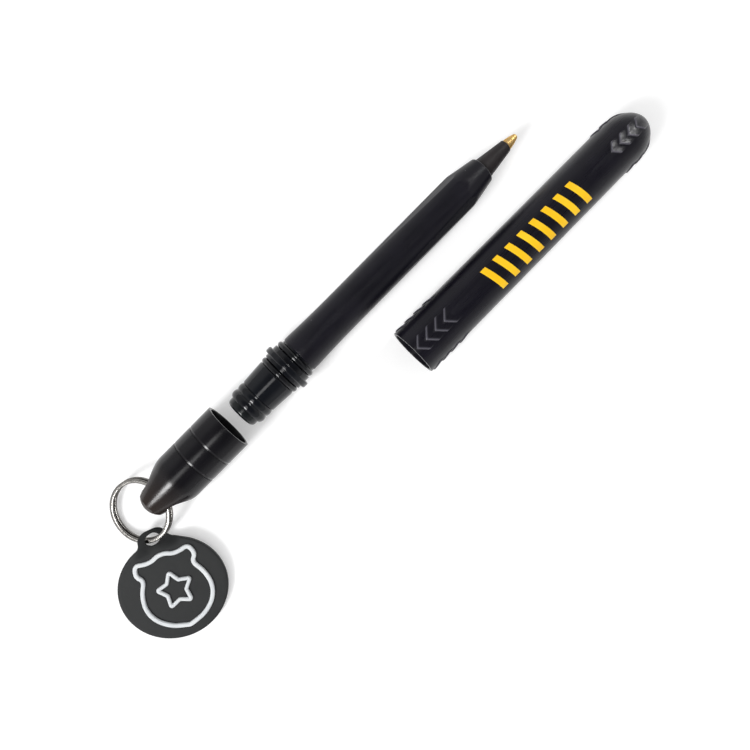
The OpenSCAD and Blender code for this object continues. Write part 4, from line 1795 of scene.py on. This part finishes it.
    def plate(self) -> bpy.types.Object:
        """The oval plate with its lug, rounded edges and hole.

        Returns:
            The plate.
        """
        outline = self.outline()
        work = bmesh.new()

        def spot(p: Point, level: float, cut: float = 0.0) -> bmesh.types.BMVert:
            """A vertex at a share of the half thickness, less a rounded edge's depth."""
            z = self.lift(*p) + level * (self.half_thick(p[1]) - cut)
            return work.verts.new((p[0] * MM, p[1] * MM, z * MM))

        turns = [math.radians(90 - 90 / self.edge_steps * i) for i in range(self.edge_steps + 1)]
        upper = [(self.edge * (1 - math.cos(a)), self.edge * (1 - math.sin(a))) for a in turns]
        profile = [(d, 1.0, c) for d, c in upper] + [(d, -1.0, c) for d, c in reversed(upper)]
        rings = [[spot(p, level, cut) for p in self.inset(outline, deep)] for deep, level, cut in profile]
        for a, b in zip(rings, rings[1:]):
            bridge(work, a, b)
        soft, bevel = self.hole_edge, self.hole_bevel
        walls = [(1.0, soft, 0.0), (1.0, bevel, bevel), (1.0, 0.0, soft),
                 (-1.0, 0.0, soft), (-1.0, bevel, bevel), (-1.0, soft, 0.0)]
        rims = [[spot(p, level, cut) for p in self.hole(level, grow)] for level, grow, cut in walls]
        for a, b in zip(rims, rims[1:]):
            bridge(work, a, b)
        for level in (1.0, -1.0):
            points, faces = self.sheet(self.inset(outline, self.edge), self.hole(level, soft))
            verts = [spot(p, level) for p in points]
            for face in faces:
                work.faces.new([verts[i] for i in face])
        bmesh.ops.remove_doubles(work, verts=work.verts, dist=self.weld_m)
        bmesh.ops.transform(work, matrix=self.place(), verts=work.verts)
        return keep("tag_plate", work, crease=50.0)

    def shield(self) -> list[Point]:
        """The path of the shield's line.

        Returns:
            Points about the middle of the emblem.
        """
        stops, pulls = ([(x * self.shield_w, y * self.shield_h) for x, y in table]
                        for table in (SHIELD_STOPS, SHIELD_PULLS))
        right: list[Point] = []
        for a, b, c in zip(stops, pulls, stops[1:]):
            right += bend(a, b, c)
        left = [(-x, y) for x, y in reversed(right[1:])]
        return right + [stops[-1]] + left

    def star(self) -> list[Point]:
        """The path of the star's line.

        Returns:
            Points about the middle of the emblem.
        """
        points = []
        for i in range(2 * self.star_points):
            r = self.star_waist if i % 2 else self.star_r
            turn = math.pi * i / self.star_points
            points.append((r * math.sin(turn), r * math.cos(turn)))
        return points

    def line(self, tree: Tree, name: str, path: list[Point], width: float, corner: float) -> bpy.types.Object:
        """One raised line on the tag.

        Args:
            tree: The raised line's tree.
            name: Name of the piece.
            path: The closed path about the middle of the emblem.
            width: Width of the line.
            corner: Radius of its corners.

        Returns:
            The line.
        """
        mesh = tree.bake(name, {
            "Width": width * MM, "Rise": self.rise * MM, "Sink": self.sink * MM, "Corner": corner * MM,
            "Edge": self.line_edge * MM, "Spacing": self.spacing * MM,
            "Material": LINE_WHITE.material()}, loop_mesh(name + "_path", path))
        lift = Matrix.Translation(Vector((self.aside, -self.middle - self.drop, self.thick / 2)) * MM)
        mesh.transform(self.place() @ lift)
        return keep(name, mesh, crease=60.0)

    def build(self) -> None:
        """Builds the plate and its two raised lines and seats them on the tag."""
        tree = raised_line()
        shield = self.line(tree, "shield_line", self.shield(), self.shield_line, self.shield_corner)
        star = self.line(tree, "star_line", self.star(), self.star_line, self.star_corner)
        seat(self.plate(), Body.TAG, "tag_rubber", "tag_disc")
        seat(shield, Body.TAG, "tag_line_white", "tag_shield_line")
        seat(star, Body.TAG, "tag_line_white", "tag_star_line")

    def dress(self) -> None:
        """Gives the tag its soft grey and its lines their white."""
        wear("tag_plate", TAG_RUBBER)
        wear("shield_line", LINE_WHITE)
        wear("star_line", LINE_WHITE)


# Studio


@dataclass(frozen=True)
class Lamp:
    """A soft lamp that faces the middle of the row, in millimetres and watts."""

    name: str
    place: Place
    size: Point
    power: float
    mirrored: bool = True

    def hang(self) -> None:
        """Puts the lamp into the scene, mirrored by glossy pieces or not."""
        light = bpy.data.lights.new(self.name, "AREA")
        light.shape = "RECTANGLE"
        light.size = self.size[0] * MM
        light.size_y = self.size[1] * MM
        light.energy = self.power
        holder = bpy.data.objects.new(self.name, light)
        holder.location = Vector(self.place) * MM
        holder.rotation_euler = (-holder.location).to_track_quat("-Z", "Y").to_euler()
        holder.visible_glossy = self.mirrored
        bpy.context.scene.collection.objects.link(holder)


LAMPS = (
    Lamp("lamp_tail", (-523.0, 0.0, 450.0), (170.0, 222.0), 2.8),
    Lamp("lamp_strip", (-360.0, -5.0, 700.0), (180.0, 640.0), 1.3),
    Lamp("lamp_dome", (570.0, -8.0, 418.0), (110.0, 110.0), 1.2),
    Lamp("lamp_top", (0.0, 0.0, 900.0), (900.0, 900.0), 1.0, mirrored=False))


@dataclass
class Studio:
    """Floor, light and camera, in millimetres and degrees."""

    floor_w: float = 3000.0
    floor_drop: float = 0.02
    floor_tone: float = 0.8
    floor_rough: float = 0.9
    floor_glow: float = 0.3
    zenith: float = 0.15
    horizon: float = 0.65
    fade: Point = (0.45, 0.88)
    side: float = 0.17
    camera_from_tail: Place = (20.0, -15.3, 170.0)
    camera_turn: float = -45.33
    lens: float = 36.27
    sensor: float = 36.0
    near: float = 10.0
    shift: Point = (0.032, 0.032)

    def floor(self) -> None:
        """A pale floor that keeps the shadow and shows white to the camera and in reflections."""
        half, low = self.floor_w / 2 * MM, -self.floor_drop * MM
        mesh = bpy.data.meshes.new("studio_floor")
        corners = [(-half, -half, low), (half, -half, low), (half, half, low), (-half, half, low)]
        mesh.from_pydata(corners, [], [(0, 1, 2, 3)])
        ground = bpy.data.objects.new("studio_floor", mesh)
        bpy.context.scene.collection.objects.link(ground)
        material = bpy.data.materials.new("studio_floor")
        material.use_nodes = True
        tree = material.node_tree
        skin = tree.nodes["Principled BSDF"]
        fill(tree, skin, {
            "Base Color": (self.floor_tone, self.floor_tone, self.floor_tone, 1.0),
            "Roughness": self.floor_rough, "Specular IOR Level": 0.0})
        glow = add_node(tree, "ShaderNodeEmission", {"Strength": self.seen(tree)})
        both = add_node(tree, "ShaderNodeAddShader", {0: skin.outputs[0], 1: glow.outputs[0]})
        fill(tree, tree.nodes["Material Output"], {"Surface": both.outputs[0]})
        mesh.materials.append(material)

    def seen(self, tree: bpy.types.NodeTree) -> Field:
        """The floor's glow for camera, glossy and transmission rays, and 0 for the rest.

        Args:
            tree: The floor's node tree.

        Returns:
            The strength.
        """
        path = add_node(tree, "ShaderNodeLightPath")
        total = Field(tree, path.outputs["Is Camera Ray"])
        for ray in ("Is Glossy Ray", "Is Transmission Ray"):
            total = total.math("MAXIMUM", path.outputs[ray])
        return total * self.floor_glow

    def sky(self) -> None:
        """Soft light all round, dimmer overhead, with a white backdrop for the camera."""
        world = bpy.data.worlds.new("studio")
        bpy.context.scene.world = world
        world.use_nodes = True
        tree = world.node_tree
        spot = add_node(tree, "ShaderNodeTexCoord")
        split = add_node(tree, "ShaderNodeSeparateXYZ", {0: spot.outputs["Generated"]})
        height = worked_out(tree, "MULTIPLY_ADD", split.outputs[1], -self.side, split.outputs[2])
        fade = add_node(tree, "ShaderNodeMapRange", {
            "Value": height, "From Min": self.fade[0], "From Max": self.fade[1],
            "To Min": self.horizon, "To Max": self.zenith}, interpolation_type="SMOOTHSTEP")
        path = add_node(tree, "ShaderNodeLightPath")
        white = worked_out(tree, "MAXIMUM", fade.outputs[0], path.outputs["Is Camera Ray"])
        fill(tree, tree.nodes["Background"], {"Color": (1.0, 1.0, 1.0, 1.0), "Strength": white})

    def camera(self) -> None:
        """The camera straight above the row, turned as the photograph is."""
        data = bpy.data.cameras.new("camera")
        data.lens = self.lens
        data.sensor_width = self.sensor
        data.shift_x, data.shift_y = self.shift
        data.clip_start = self.near * MM
        eye = bpy.data.objects.new("camera", data)
        eye.location = pen_start() + Vector(self.camera_from_tail) * MM
        eye.rotation_euler = (0.0, 0.0, math.radians(self.camera_turn))
        bpy.context.scene.collection.objects.link(eye)
        bpy.context.scene.camera = eye

    def build(self) -> None:
        """Sets the stage."""
        self.floor()
        self.sky()
        for lamp in LAMPS:
            lamp.hang()
        self.camera()
        bpy.context.scene.view_settings.view_transform = "Standard"


def main() -> None:
    """Builds each group of pieces in order, then the stage."""
    logging.basicConfig(level=logging.INFO, format="%(name)s: %(message)s")
    for group in (Barrel(), TailPiece(), Refill(), Cap(), TailCap(), SplitRing(), Tag()):
        LOG.info("building %s", type(group).__name__)
        group.build()
        group.dress()
    Studio().build()


if __name__ == "__main__":
    main()
